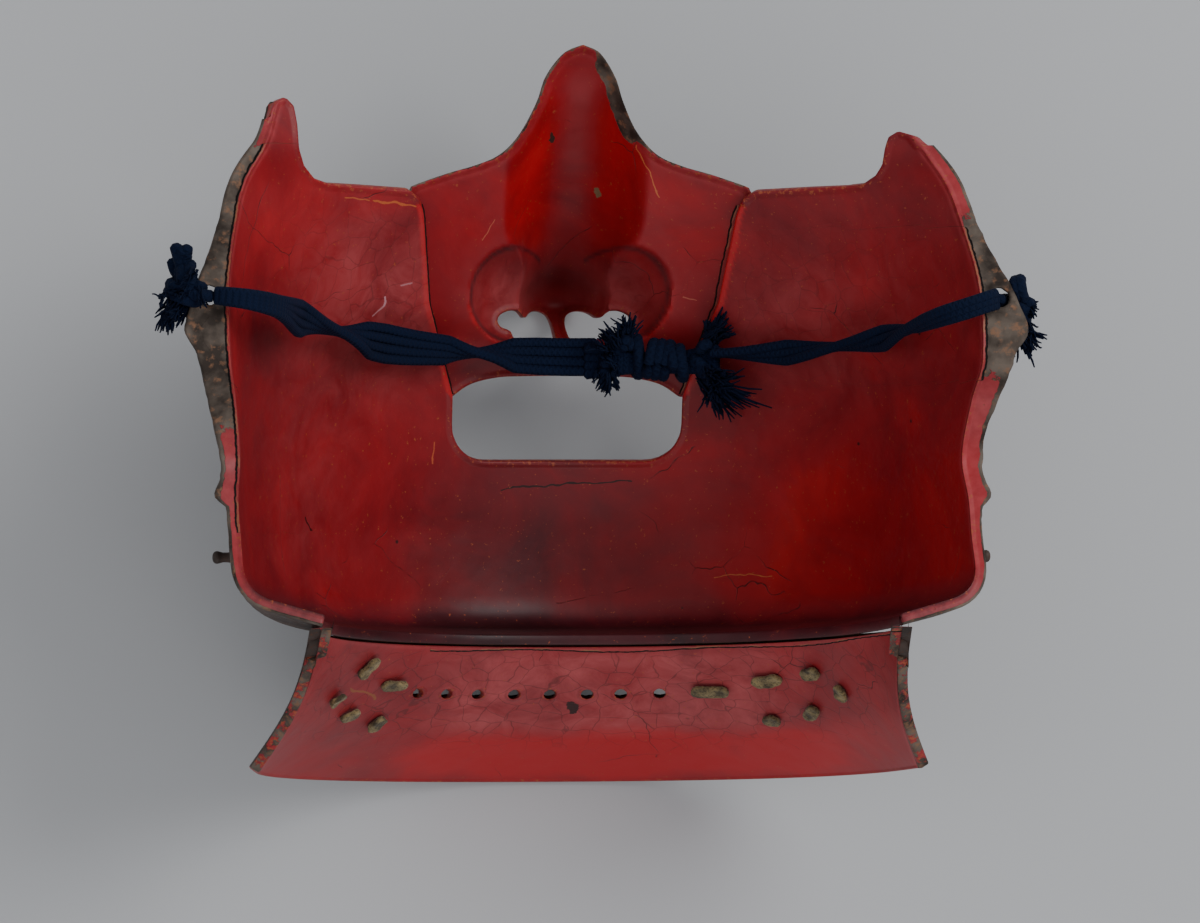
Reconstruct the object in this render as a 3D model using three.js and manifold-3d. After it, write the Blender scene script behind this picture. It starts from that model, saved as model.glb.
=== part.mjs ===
// Samurai face guard: an iron half mask lacquered red inside, lying face down on its nose and throat flange.
// Millimetres. X runs across the face, Y from the throat up to the nose bridge, and Z from the floor
// that the guard lies on up to its open back.
import * as THREE from "three";
import { mergeVertices } from "three/addons/utils/BufferGeometryUtils.js";
import Module from "manifold-3d";

const wasm = await Module();
wasm.setup();

// Overall sizes
const halfHeight = 81;          // middle to the bridge's top, and down to the throat flange's edge
const faceHalfWidth = 79;       // middle of the face to the bend of a rear flange
const faceDepth = 114;          // floor to the jaw's rear corner
const wall = 2.3;               // lacquered sheet iron
const jointGap = 0.3;           // between sheets that lie on or against each other

// Chin shelf
const jawDrop = 45.8;           // middle line to the fold under the chin
const jawRise = 9.8;            // how much higher that fold is at the rear corners
const chinRadius = 6;           // of the fold's inside
const crestHalfWidth = 60;      // of the shelf's inner edge
const crestHeight = 42;         // of that edge above the floor, at the middle
const crestDrop = 46.8;         // middle line down to that edge
const crestRise = 6.1;          // how much higher that edge is at its rear ends

// Rear flanges
const flangeReach = 9.5;        // widest, at their tips
const flangeLift = 12;          // degrees that they rise outwards
const cordHoleDiameter = 4.2;
const cordHoleInset = 4;        // from the bend line to the hole's middle
const cordHoleHeight = 25.5;    // up the face

// Mouth and the nose piece's place
const mouthHalfWidth = 25.3;
const mouthBottom = 9;          // below the middle line
const mouthCorner = 5.3;        // above the middle line, where the nose piece starts
const mouthRadius = 8;
const lipHeight = 10;           // middle of the upper lip's edge above the middle line
const seamMiddle = 31.6;        // half width between the cheeks' edges beside the nose wings
const seamTop = 34.2;           // and at the cheeks' upper rim
const lapWidth = 5;             // of the nose piece under each cheek
const cheekRim = 49.3;          // height of the cheeks' upper rim
const hornLeft = 19.1;          // height of the left horn above that rim
const hornRight = 12.5;

// Nose
const bridgeBack = 57;          // bridge's top above the floor
const bulbHalfWidth = 9.9;
const wingRadius = 10.7;
const wingOffset = 11.5;        // nose middle to a wing's middle
const wingHeight = 27.7;        // a wing's middle up the face
const wingDepth = 9.4;
const blendDepth = 5;           // of the soft turn from the cheek into the bridge
const septumWidth = 3;
const nostrilWidth = 13.4;
const nostrilBottom = 18.1;
const nostrilHeight = 6.5;

// Throat flange
const throatHalfWidth = 71;
const throatBack = 73;          // height of its lower corners above the floor
const throatRise = 6;           // how much higher up the face those corners are
const throatHollow = 2.6;       // how far the flange curves inwards between its edges
const laceHoleDiameter = 2.5;
const laceHoleRow = 0.34;       // share of the way from the crest to the lower edge
const crestGap = 0.4;           // between this flange and the shelf's edge that it is riveted to

// Small pieces
const pegDiameter = 3;
const pegLength = 4.2;
const pegDrop = 29;             // below the middle line
const pegInset = 12;            // below the shell's rear edge
const laceWidth = 3.2;
const laceThickness = 1;
const cordLeftDiameter = 5.2;
const cordRightDiameter = 4.6;

// Grid of the sheets
const columns = 14;             // on each side of the middle
const faceRows = 20;
const foldRows = 3;
const shelfRows = 3;
const throatRows = 5;

// Cross sections of the face. Height is a share of halfHeight, floor and back are shares of faceDepth,
// half is a share of faceHalfWidth, roundness is the exponent of the section's curve, and close says
// how near its rear edge comes to standing upright.
const faceSections = [
  { height: 1.00, floor: 0.565, half: 0.740, back: 0.600, roundness: 1.50, close: 0.900 },
  { height: 0.85, floor: 0.497, half: 0.842, back: 0.660, roundness: 1.50, close: 0.900 },
  { height: 0.72, floor: 0.440, half: 0.885, back: 0.710, roundness: 1.50, close: 0.920 },
  { height: 0.62, floor: 0.395, half: 0.943, back: 0.745, roundness: 1.50, close: 0.950 },
  { height: 0.54, floor: 0.362, half: 0.968, back: 0.778, roundness: 1.55, close: 0.955 },
  { height: 0.35, floor: 0.278, half: 1.000, back: 0.873, roundness: 1.75, close: 0.970 },
  { height: 0.15, floor: 0.215, half: 1.000, back: 0.918, roundness: 1.95, close: 0.980 },
  { height: 0.05, floor: 0.195, half: 0.983, back: 0.870, roundness: 2.00, close: 0.985 },
  { height: -0.10, floor: 0.167, half: 0.967, back: 0.826, roundness: 2.00, close: 0.985 },
  { height: -0.21, floor: 0.148, half: 0.975, back: 0.866, roundness: 2.05, close: 0.985 },
  { height: -0.31, floor: 0.132, half: 0.972, back: 0.912, roundness: 2.10, close: 0.990 },
  { height: -0.46, floor: 0.124, half: 0.968, back: 1.000, roundness: 2.10, close: 0.990 },
  { height: -0.58, floor: 0.130, half: 0.955, back: 1.000, roundness: 2.10, close: 0.990 },
];

// Reach of a rear flange past the bend, as a share of flangeReach, at heights that are shares of halfHeight
const flangeSections = [
  { height: 0.80, reach: 0.285 },
  { height: 0.62, reach: 0.36 },
  { height: 0.50, reach: 0.42 },
  { height: 0.40, reach: 0.60 },
  { height: 0.30, reach: 0.86 },
  { height: 0.235, reach: 1.00 },
  { height: 0.17, reach: 0.74 },
  { height: 0.05, reach: 0.60 },
  { height: -0.03, reach: 0.50 },
  { height: -0.15, reach: 0.42 },
  { height: -0.20, reach: 0.53 },
  { height: -0.23, reach: 0.285 },
  { height: -0.60, reach: 0.285 },
];

// Inside of the nose along its middle. Height is a share of halfHeight and back a share of bridgeBack;
// half, a share of bulbHalfWidth, is how far out the trough has risen by rise, a share of bridgeBack.
const noseSections = [
  { height: 1.00, back: 1.000, half: 0.91, rise: 0.07 },
  { height: 0.92, back: 0.880, half: 0.91, rise: 0.08 },
  { height: 0.85, back: 0.800, half: 1.01, rise: 0.16 },
  { height: 0.77, back: 0.690, half: 1.31, rise: 0.25 },
  { height: 0.68, back: 0.580, half: 1.52, rise: 0.31 },
  { height: 0.62, back: 0.500, half: 1.56, rise: 0.35 },
  { height: 0.52, back: 0.365, half: 1.50, rise: 0.39 },
  { height: 0.45, back: 0.245, half: 1.27, rise: 0.40 },
  { height: 0.395, back: 0.135, half: 1.08, rise: 0.35 },
  { height: 0.345, back: 0.040, half: 1.00, rise: 0.30 },
  { height: 0.315, back: 0.028, half: 0.99, rise: 0.30 },
  { height: 0.285, back: 0.085, half: 0.98, rise: 0.27 },
  { height: 0.245, back: 0.220, half: 0.95, rise: 0.22 },
  { height: 0.21, back: 0.380, half: 0.95, rise: 0.15 },
  { height: 0.17, back: 0.620, half: 0.95, rise: 0.15 },
  { height: 0.05, back: 0.900, half: 0.95, rise: 0.15 },
];

// Rim of a cheek from the seam to its horn: x is a share of faceHalfWidth, and height is a share of
// cheekRim up to the horn, then rim plus a share of the horn's own height
const cheekRimPoints = [
  { x: 0.473, height: 1.0 },
  { x: 0.610, height: 1.012 },
  { x: 0.703, height: 1.018 },
];
const hornPoints = [
  { x: 0.745, rise: 0.10 },
  { x: 0.775, rise: 0.24 },
  { x: 0.790, rise: 0.42 },
  { x: 0.795, rise: 0.70 },
  { x: 0.804, rise: 0.90 },
  { x: 0.828, rise: 1.00 },
  { x: 0.860, rise: 0.93 },
  { x: 0.882, rise: 0.74 },
];

// Nose piece's upper edge from its corner at the seam up to the bridge: x is a share of seamTop, and
// rise a share of the way from the cheeks' rim to the bridge's top
const bridgeEdge = [
  { x: 1.075, rise: 0.035 },
  { x: 1.020, rise: 0.060 },
  { x: 0.836, rise: 0.129 },
  { x: 0.658, rise: 0.186 },
  { x: 0.497, rise: 0.265 },
  { x: 0.368, rise: 0.413 },
  { x: 0.272, rise: 0.618 },
  { x: 0.219, rise: 0.789 },
  { x: 0.114, rise: 0.945 },
  { x: 0.000, rise: 1.000 },
];

// Upper lip's edge from its middle: x is a share of mouthHalfWidth, and rise a share of the way from
// mouthCorner to lipHeight
const lipEdge = [
  { x: 0.00, rise: 1.00 },
  { x: 0.36, rise: 0.97 },
  { x: 0.60, rise: 0.90 },
  { x: 0.84, rise: 0.58 },
  { x: 1.00, rise: 0.00 },
];

// A nostril's edge: x is a share of nostrilWidth out from the septum, y a share of nostrilHeight
const nostrilEdge = [
  { x: 0.00, y: 0.00 },
  { x: 0.00, y: 0.52 },
  { x: 0.06, y: 0.87 },
  { x: 0.21, y: 1.00 },
  { x: 0.37, y: 0.94 },
  { x: 0.51, y: 0.73 },
  { x: 0.63, y: 0.94 },
  { x: 0.78, y: 0.97 },
  { x: 0.94, y: 0.84 },
  { x: 1.00, y: 0.64 },
  { x: 0.95, y: 0.42 },
  { x: 0.78, y: 0.27 },
  { x: 0.74, y: 0.00 },
];

// A jaw peg from its foot to its end: radius is a share of pegDiameter and height of pegLength
const pegProfile = [
  { radius: 0.000, height: 0.00 },
  { radius: 0.468, height: 0.00 },
  { radius: 0.360, height: 0.20 },
  { radius: 0.360, height: 0.55 },
  { radius: 0.500, height: 0.72 },
  { radius: 0.450, height: 0.92 },
  { radius: 0.200, height: 1.00 },
  { radius: 0.000, height: 1.00 },
];

// Open lacing holes and leather remnants of the throat flange: around is a share of the way from the
// middle to a rear end, down is a share of the way from the crest to the lower edge, length is in widths
// of the lace, and turn is in degrees
const laceHoles = [-0.334, -0.255, -0.178, -0.097, -0.028, 0.026, 0.089, 0.171];
const laces = [
  { around: -0.425, down: 0.27, length: 2.00, turn: 4 },
  { around: -0.434, down: 0.55, length: 1.63, turn: 84 },
  { around: -0.535, down: 0.16, length: 1.94, turn: 78 },
  { around: -0.545, down: 0.50, length: 1.44, turn: 40 },
  { around: -0.636, down: 0.40, length: 1.31, turn: 70 },
  { around: 0.292, down: 0.31, length: 2.69, turn: -4 },
  { around: 0.444, down: 0.25, length: 2.38, turn: 2 },
  { around: 0.450, down: 0.54, length: 1.44, turn: 10 },
  { around: 0.578, down: 0.22, length: 1.75, turn: 12 },
  { around: 0.578, down: 0.50, length: 1.81, turn: 30 },
  { around: 0.690, down: 0.38, length: 1.50, turn: 60 },
];

// Value of one column of a table at a height, along a smooth curve through its rows
function tableAt(rows, unit, column, y) {
  const at = y / unit;
  const last = rows.length - 1;
  let i = 0;
  while (i < last - 1 && rows[i + 1].height > at) i += 1;
  const slope = (k) => {
    const a = rows[Math.max(k - 1, 0)];
    const b = rows[Math.min(k + 1, last)];
    return (b[column] - a[column]) / (b.height - a.height);
  };
  const from = rows[i];
  const to = rows[i + 1];
  const step = to.height - from.height;
  const u = THREE.MathUtils.clamp((at - from.height) / step, 0, 1);
  const u2 = u * u;
  const u3 = u2 * u;
  return (2 * u3 - 3 * u2 + 1) * from[column] + (u3 - 2 * u2 + u) * step * slope(i)
    + (3 * u2 - 2 * u3) * to[column] + (u3 - u2) * step * slope(i + 1);
}

// Height above the floor of the face's inside at a share of its half width
function sectionHeight(y, share) {
  const floor = faceDepth * tableAt(faceSections, halfHeight, "floor", y);
  const back = faceDepth * tableAt(faceSections, halfHeight, "back", y);
  const n = tableAt(faceSections, halfHeight, "roundness", y);
  const close = tableAt(faceSections, halfHeight, "close", y);
  const curve = (v) => 1 - Math.pow(1 - Math.pow(v, n), 1 / n);
  return floor + (back - floor) * curve(close * share) / curve(close);
}

function bendHalfWidth(y) {
  return faceHalfWidth * tableAt(faceSections, halfHeight, "half", y);
}

// The face's inside as a height over the plan, for pieces that lie against it
function faceHeight(x, y) {
  return sectionHeight(y, Math.min(Math.abs(x) / bendHalfWidth(y), 1));
}

// A point of the inside at a share of the length of its cross section, from -1 to 1
const sectionCache = new Map();
function facePoint(around, y) {
  const samples = 48;
  if (!sectionCache.has(y)) {
    const half = bendHalfWidth(y);
    const points = [];
    for (let i = 0; i <= samples; i += 1) {
      const share = Math.sin((i / samples) * Math.PI / 2);
      points.push(new THREE.Vector3(half * share, y, sectionHeight(y, share)));
    }
    const along = [0];
    points.slice(1).forEach((p, i) => along.push(along[i] + p.distanceTo(points[i])));
    sectionCache.set(y, { points, along });
  }
  const { points, along } = sectionCache.get(y);
  const wanted = Math.abs(around) * along[samples];
  let i = 0;
  while (i < samples - 1 && along[i + 1] < wanted) i += 1;
  const u = (wanted - along[i]) / (along[i + 1] - along[i]);
  const point = points[i].clone().lerp(points[i + 1], u);
  point.x *= Math.sign(around);
  return point;
}

// The shelf's inner edge under the chin, a flatter horseshoe than the jaw
function crestPoint(around) {
  const angle = Math.abs(around) * Math.PI / 2;
  const flat = 2 / 2.2;
  return new THREE.Vector3(
    Math.sign(around) * crestHalfWidth * Math.pow(Math.sin(angle), flat),
    -crestDrop + crestRise * around * around,
    faceDepth - (faceDepth - crestHeight) * Math.pow(Math.cos(angle), flat),
  );
}

// The throat flange's lower edge, flat at the middle, where the guard rests on it
function throatPoint(around) {
  const angle = Math.abs(around) * Math.PI / 2;
  const flat = 2 / 2.5;
  const rest = wall * 0.55;
  return new THREE.Vector3(
    Math.sign(around) * throatHalfWidth * Math.pow(Math.sin(angle), flat),
    -halfHeight + throatRise * around * around,
    throatBack - (throatBack - rest) * Math.pow(Math.cos(angle), flat),
  );
}

// One column of the face shell's inside, from the top down the cheek, round the fold and up the shelf
function shellColumn(around) {
  const fold = -jawDrop + jawRise * around * around;
  const top = cheekRim + Math.max(hornLeft, hornRight) + wall;
  const points = [];
  for (let i = 0; i < faceRows; i += 1) {
    points.push(facePoint(around, top + (fold + chinRadius - top) * (i / (faceRows - 1))));
  }
  const start = points[faceRows - 1];
  const corner = facePoint(around, fold);
  const crest = crestPoint(around);
  const end = corner.clone().add(crest.clone().sub(corner).setLength(chinRadius));
  const bend = new THREE.QuadraticBezierCurve3(start, corner, end);
  for (let i = 1; i <= foldRows; i += 1) points.push(bend.getPoint(i / foldRows));
  for (let i = 1; i <= shelfRows; i += 1) points.push(end.clone().lerp(crest, i / shelfRows));
  return points;
}

// Normals of a grid of points, pointing away from its lacquered inside
function gridNormals(grid) {
  const lastRow = grid.length - 1;
  const lastColumn = grid[0].length - 1;
  return grid.map((row, r) => row.map((point, c) => {
    const across = row[Math.min(c + 1, lastColumn)].clone().sub(row[Math.max(c - 1, 0)]);
    const down = grid[Math.min(r + 1, lastRow)][c].clone().sub(grid[Math.max(r - 1, 0)][c]);
    return across.cross(down).normalize();
  }));
}

function toSolid(geometry) {
  geometry.deleteAttribute("normal");
  geometry.deleteAttribute("uv");
  const merged = mergeVertices(geometry, 1e-4);
  return new wasm.Manifold(new wasm.Mesh({
    numProp: 3,
    vertProperties: new Float32Array(merged.attributes.position.array),
    triVerts: new Uint32Array(merged.index.array),
  }));
}

function toGeometry(solid) {
  const mesh = solid.getMesh();
  const geometry = new THREE.BufferGeometry();
  geometry.setAttribute("position", new THREE.BufferAttribute(mesh.vertProperties, 3));
  geometry.setIndex(new THREE.BufferAttribute(mesh.triVerts, 1));
  geometry.computeVertexNormals();
  return geometry;
}

// A closed sheet between two grids of points, the inside one first
function sheetBetween(inside, outside) {
  const rows = inside.length;
  const width = inside[0].length;
  const positions = [...inside.flat(), ...outside.flat()].flatMap((p) => [p.x, p.y, p.z]);
  const inner = (r, c) => r * width + c;
  const outer = (r, c) => rows * width + r * width + c;
  const index = [];
  const quad = (a, b, c, d) => index.push(a, b, c, a, c, d);
  for (let r = 0; r < rows - 1; r += 1) {
    for (let c = 0; c < width - 1; c += 1) {
      quad(inner(r, c), inner(r + 1, c), inner(r + 1, c + 1), inner(r, c + 1));
      quad(outer(r, c), outer(r, c + 1), outer(r + 1, c + 1), outer(r + 1, c));
    }
    quad(inner(r, 0), outer(r, 0), outer(r + 1, 0), inner(r + 1, 0));
    quad(inner(r + 1, width - 1), outer(r + 1, width - 1), outer(r, width - 1), inner(r, width - 1));
  }
  for (let c = 0; c < width - 1; c += 1) {
    quad(inner(0, c + 1), outer(0, c + 1), outer(0, c), inner(0, c));
    quad(inner(rows - 1, c), outer(rows - 1, c), outer(rows - 1, c + 1), inner(rows - 1, c + 1));
  }
  const geometry = new THREE.BufferGeometry();
  geometry.setAttribute("position", new THREE.Float32BufferAttribute(positions, 3));
  geometry.setIndex(index);
  return toSolid(geometry);
}

// An outline in plan made a prism that runs right through the guard
function prism(shape) {
  const margin = 10;
  const depth = faceDepth + 4 * margin;
  const geometry = new THREE.ExtrudeGeometry(shape, { depth, bevelEnabled: false, curveSegments: 3 });
  geometry.translate(0, 0, -margin);
  return toSolid(geometry);
}

const mirrored = (points) => points.map((p) => new THREE.Vector2(-p.x, p.y)).reverse();

// Half of what is cut out of the face shell in plan: half the mouth, the seam, the rim and the horn
function cutOutline(hornHeight) {
  const points = [];
  const corner = new THREE.EllipseCurve(
    mouthHalfWidth - mouthRadius, -mouthBottom + mouthRadius, mouthRadius, mouthRadius, -Math.PI / 2, 0,
  );
  points.push(new THREE.Vector2(0, -mouthBottom), ...corner.getPoints(5));
  points.push(new THREE.Vector2(mouthHalfWidth, mouthCorner));
  points.push(new THREE.Vector2(seamMiddle, wingHeight - 2));
  points.push(new THREE.Vector2(seamTop, cheekRim - 3));
  const rim = cheekRimPoints.map((p) => new THREE.Vector2(p.x * faceHalfWidth, p.height * cheekRim));
  const horn = hornPoints.map((p) => {
    return new THREE.Vector2(p.x * faceHalfWidth, cheekRim + p.rise * hornHeight);
  });
  points.push(...rim, ...horn);
  const past = new THREE.Vector2(faceHalfWidth, cheekRim + hornHeight * hornPoints.at(-1).rise);
  points.push(past, new THREE.Vector2(faceHalfWidth, 2 * halfHeight));
  return points;
}

function faceShell() {
  const foldReach = wall * 1.04;
  const shares = [];
  for (let c = -columns; c <= columns; c += 1) shares.push(c / columns);
  const byColumn = shares.map(shellColumn);
  const grid = byColumn[0].map((_, r) => byColumn.map((column) => column[r]));
  const normals = gridNormals(grid);
  const outside = grid.map((row, r) => row.map((p, c) => p.clone().addScaledVector(normals[r][c], wall)));
  const lift = THREE.MathUtils.degToRad(flangeLift);
  const up = new THREE.Vector3(0, 0, 1);
  const insideRows = grid.map((row, r) => {
    const ends = [0, row.length - 1].map((c) => {
      const out = normals[r][c].clone().setZ(0).normalize();
      const bend = row[c];
      const onFace = r < faceRows;
      const share = tableAt(flangeSections, halfHeight, "reach", bend.y);
      const width = onFace ? flangeReach * share : foldReach;
      const mitre = bend.clone().addScaledVector(out, wall).addScaledVector(up, -wall);
      outside[r][c] = mitre;
      const tip = bend.clone().addScaledVector(out, width * Math.cos(lift));
      tip.addScaledVector(up, width * Math.sin(lift));
      const under = tip.clone().addScaledVector(up, -wall);
      return { tip, under };
    });
    outside[r] = [ends[0].under, ...outside[r], ends[1].under];
    return [ends[0].tip, ...row, ends[1].tip];
  });
  const cut = [...cutOutline(hornRight), ...mirrored(cutOutline(hornLeft))];
  let shell = sheetBetween(insideRows, outside).subtract(prism(new THREE.Shape(cut)));
  const holeOut = bendHalfWidth(cordHoleHeight) + cordHoleInset;
  for (const side of [-1, 1]) {
    const hole = new THREE.Shape();
    hole.absarc(side * holeOut, cordHoleHeight, cordHoleDiameter / 2, 0, 2 * Math.PI);
    shell = shell.subtract(prism(hole));
  }
  return { solid: shell, crestUnder: outside.at(-1).slice(1, -1), shares };
}

// Inside of the nose piece as a height over the plan: it lies one sheet under the cheeks, with the
// bridge's trough softly let into it and a round bowl let in for each wing
function noseHeight(x, y) {
  const step = 0.5;
  const slopeX = (faceHeight(x + step, y) - faceHeight(x - step, y)) / (2 * step);
  const slopeY = (faceHeight(x, y + step) - faceHeight(x, y - step)) / (2 * step);
  const lap = (wall + jointGap) * Math.sqrt(1 + slopeX * slopeX + slopeY * slopeY);
  const cheek = faceHeight(x, y) - lap;
  const half = bulbHalfWidth * tableAt(noseSections, halfHeight, "half", y);
  const rise = bridgeBack * tableAt(noseSections, halfHeight, "rise", y);
  const middle = bridgeBack * tableAt(noseSections, halfHeight, "back", y);
  const trough = middle + rise * Math.pow(Math.abs(x) / half, 2.2);
  const overlap = Math.max(blendDepth - Math.abs(cheek - trough), 0) / blendDepth;
  const blended = Math.min(cheek, trough) - overlap * overlap * blendDepth / 4;
  const fromWing = Math.hypot(Math.abs(x) - wingOffset, y - wingHeight) / wingRadius;
  const bowl = fromWing < 1 ? cheek - wingDepth * Math.pow(1 - fromWing * fromWing, 0.6) : cheek;
  return Math.min(blended, bowl);
}

// Outside of the nose piece: the lower envelope of balls of the sheet's thickness rolled on its inside,
// with the tip worn flat on the floor
function noseUnder(x, y) {
  let low = noseHeight(x, y) - wall;
  for (const reach of [0.4, 0.75, 0.97]) {
    for (let i = 0; i < 12; i += 1) {
      const angle = i * Math.PI / 6;
      const r = reach * wall;
      const drop = Math.sqrt(wall * wall - r * r);
      low = Math.min(low, noseHeight(x + r * Math.cos(angle), y + r * Math.sin(angle)) - drop);
    }
  }
  return Math.max(low, 0);
}

function noseOutline() {
  const edge = bridgeEdge.map((p) => {
    return new THREE.Vector2(p.x * seamTop, cheekRim + p.rise * (halfHeight - cheekRim));
  });
  const lip = lipEdge.map((p) => {
    return new THREE.Vector2(p.x * mouthHalfWidth, mouthCorner + p.rise * (lipHeight - mouthCorner));
  });
  const lap = [
    new THREE.Vector2(mouthHalfWidth + lapWidth, mouthCorner),
    new THREE.Vector2(seamMiddle + lapWidth, wingHeight - 2),
    new THREE.Vector2(seamTop + lapWidth, cheekRim - 4),
  ];
  const right = [...lip, ...lap, ...new THREE.SplineCurve(edge).getPoints(18)];
  return new THREE.Shape([...right, ...mirrored(right).slice(1, -1)]);
}

function nosePiece() {
  const acrossHalf = 14;
  const upRows = 31;
  const halfPlan = seamTop + lapWidth + 3;
  const low = mouthCorner - 3;
  const inside = [];
  for (let r = 0; r <= upRows; r += 1) {
    const y = halfHeight + 1 + (low - halfHeight - 1) * Math.pow(r / upRows, 0.86);
    const row = [];
    for (let c = -acrossHalf; c <= acrossHalf; c += 1) {
      const share = c / acrossHalf;
      const x = halfPlan * (0.72 * share + 0.28 * share * share * share);
      row.push(new THREE.Vector3(x, y, noseHeight(x, y)));
    }
    inside.push(row);
  }
  const outside = inside.map((row) => row.map((p) => new THREE.Vector3(p.x, p.y, noseUnder(p.x, p.y))));
  let nose = sheetBetween(inside, outside).intersect(prism(noseOutline()));
  const nostril = nostrilEdge.map((p) => new THREE.Vector2(
    septumWidth / 2 + p.x * nostrilWidth,
    nostrilBottom + p.y * nostrilHeight,
  ));
  nose = nose.subtract(prism(new THREE.Shape(nostril)));
  return nose.subtract(prism(new THREE.Shape(mirrored(nostril))));
}

// A point on the throat flange's lacquered side
function throatSurface(around, down, crest) {
  const point = crest.clone().lerp(throatPoint(around), down);
  const inwards = new THREE.Vector3(-Math.sin(around * Math.PI / 2), 0, Math.cos(around * Math.PI / 2));
  return point.addScaledVector(inwards, throatHollow * Math.sin(Math.PI * down));
}

function throatFlange(crestUnder, shares) {
  const crest = crestUnder.map((p) => p.clone().add(new THREE.Vector3(0, -crestGap, 0)));
  const inside = [];
  for (let r = 0; r <= throatRows; r += 1) {
    inside.push(shares.map((around, c) => throatSurface(around, r / throatRows, crest[c])));
  }
  const normals = gridNormals(inside);
  const outside = inside.map((row, r) => row.map((p, c) => {
    const n = normals[r][c];
    const flat = r === 0 ? n.clone().setY(0).divideScalar(1 - n.y * n.y) : n;
    const under = p.clone().addScaledVector(flat, wall);
    under.z = Math.max(under.z, 0);
    return under;
  }));
  return { solid: sheetBetween(inside, outside), crest };
}

// A place on the throat flange, with the directions along it, down it and up from its lacquer
function throatPlace(around, down, crestRow) {
  const column = (around + 1) * columns;
  const left = Math.floor(column);
  const crest = crestRow[left].clone().lerp(crestRow[left + 1], column - left);
  const near = 0.02;
  const at = throatSurface(around, down, crest);
  const across = throatSurface(around + near, down, crest).sub(at).normalize();
  const along = throatSurface(around, down + near, crest).sub(at).normalize();
  const up = along.clone().cross(across).normalize();
  return { at, across, up, away: up.clone().cross(across).normalize() };
}

// A flat strip of leather with round ends, lying on the throat flange
function laceStrip(lace, crestRow) {
  const { at, across, up, away } = throatPlace(lace.around, lace.down, crestRow);
  const basis = new THREE.Matrix4().makeBasis(across, away, up);
  const half = laceWidth / 2;
  const length = lace.length * laceWidth;
  const straight = length / 2 - half;
  const outline = new THREE.Shape();
  outline.absarc(straight, 0, half, -Math.PI / 2, Math.PI / 2);
  outline.absarc(-straight, 0, half, Math.PI / 2, 1.5 * Math.PI);
  const geometry = new THREE.ExtrudeGeometry(outline, {
    depth: laceThickness, bevelEnabled: false, curveSegments: 4,
  });
  geometry.rotateZ(THREE.MathUtils.degToRad(lace.turn));
  const clear = 1.4 * jointGap + length * length / (8 * crestHalfWidth);
  const mesh = new THREE.Mesh(geometry, leather);
  mesh.quaternion.setFromRotationMatrix(basis);
  mesh.position.copy(at).addScaledVector(up, clear);
  return mesh;
}

// A round lacing hole through the throat flange, along the flange's own normal
function laceDrill(around, crestRow) {
  const { at, up } = throatPlace(around, laceHoleRow, crestRow);
  const drill = new THREE.CylinderGeometry(laceHoleDiameter / 2, laceHoleDiameter / 2, 6 * wall, 8);
  const turn = new THREE.Quaternion().setFromUnitVectors(new THREE.Vector3(0, 1, 0), up);
  drill.applyQuaternion(turn);
  drill.translate(at.x, at.y, at.z);
  return toSolid(drill);
}

// A peg on the jaw's outside, pointing straight out, with a knob on its end
function jawPeg(side) {
  const profile = pegProfile.map((p) => new THREE.Vector2(p.radius * pegDiameter, p.height * pegLength));
  const mesh = new THREE.Mesh(new THREE.LatheGeometry(profile, 10), russetIron);
  const back = faceDepth * tableAt(faceSections, halfHeight, "back", -pegDrop);
  let share = 1;
  while (sectionHeight(-pegDrop, share) > back - pegInset) share -= 0.001;
  mesh.rotation.z = -side * Math.PI / 2;
  const out = bendHalfWidth(-pegDrop) * share + wall + 2 * jointGap;
  mesh.position.set(side * out, -pegDrop, back - pegInset);
  return mesh;
}

// A cord's tube along its route, or, with some room, the space that it needs round it and past its ends
function cordTube(points, diameter, room = 0) {
  const places = points.map((p) => new THREE.Vector3(...p));
  const past = (end, next) => end.add(end.clone().sub(next).setLength(room));
  past(places[0], places[1]);
  past(places.at(-1), places.at(-2));
  const route = new THREE.CatmullRomCurve3(places, false, "centripetal");
  const ring = new THREE.Shape();
  ring.absarc(0, 0, diameter / 2 + room, 0, 2 * Math.PI);
  return new THREE.ExtrudeGeometry(ring, {
    steps: Math.round(route.getLength() / (2 * diameter)), curveSegments: 8, extrudePath: route,
  });
}

// A knot or a frayed end in round lumps that run into each other, each given by its middle and half sizes
function lumps(list) {
  const parts = list.map(([middle, radii]) => {
    const ball = new THREE.SphereGeometry(1, 9, 6);
    ball.scale(...radii);
    ball.translate(...middle);
    return toSolid(ball);
  });
  return parts.slice(1).reduce((whole, part) => whole.add(part), parts[0]);
}

// Cut a soft lump clear of what it lies on, leaving the joint's gap all round
function clearOf(soft, hard) {
  const shifts = [[0, 0, 1], [0, 0, -1], [1, 0, 0], [-1, 0, 0], [0, 1, 0], [0, -1, 0]];
  const cut = shifts.reduce((rest, shift) => {
    return rest.subtract(hard.translate(shift.map((v) => v * jointGap)));
  }, soft);
  return cut.decompose().sort((a, b) => b.volume() - a.volume())[0];
}

const lacquer = new THREE.MeshStandardMaterial({ color: 0x8e0a0c, roughness: 0.32, metalness: 0 });
const russetIron = new THREE.MeshStandardMaterial({ color: 0x4a4038, roughness: 0.7, metalness: 0.5 });
const leather = new THREE.MeshStandardMaterial({ color: 0x6b5f45, roughness: 0.85, metalness: 0 });
const braid = new THREE.MeshStandardMaterial({ color: 0x131c36, roughness: 0.95, metalness: 0 });

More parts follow.
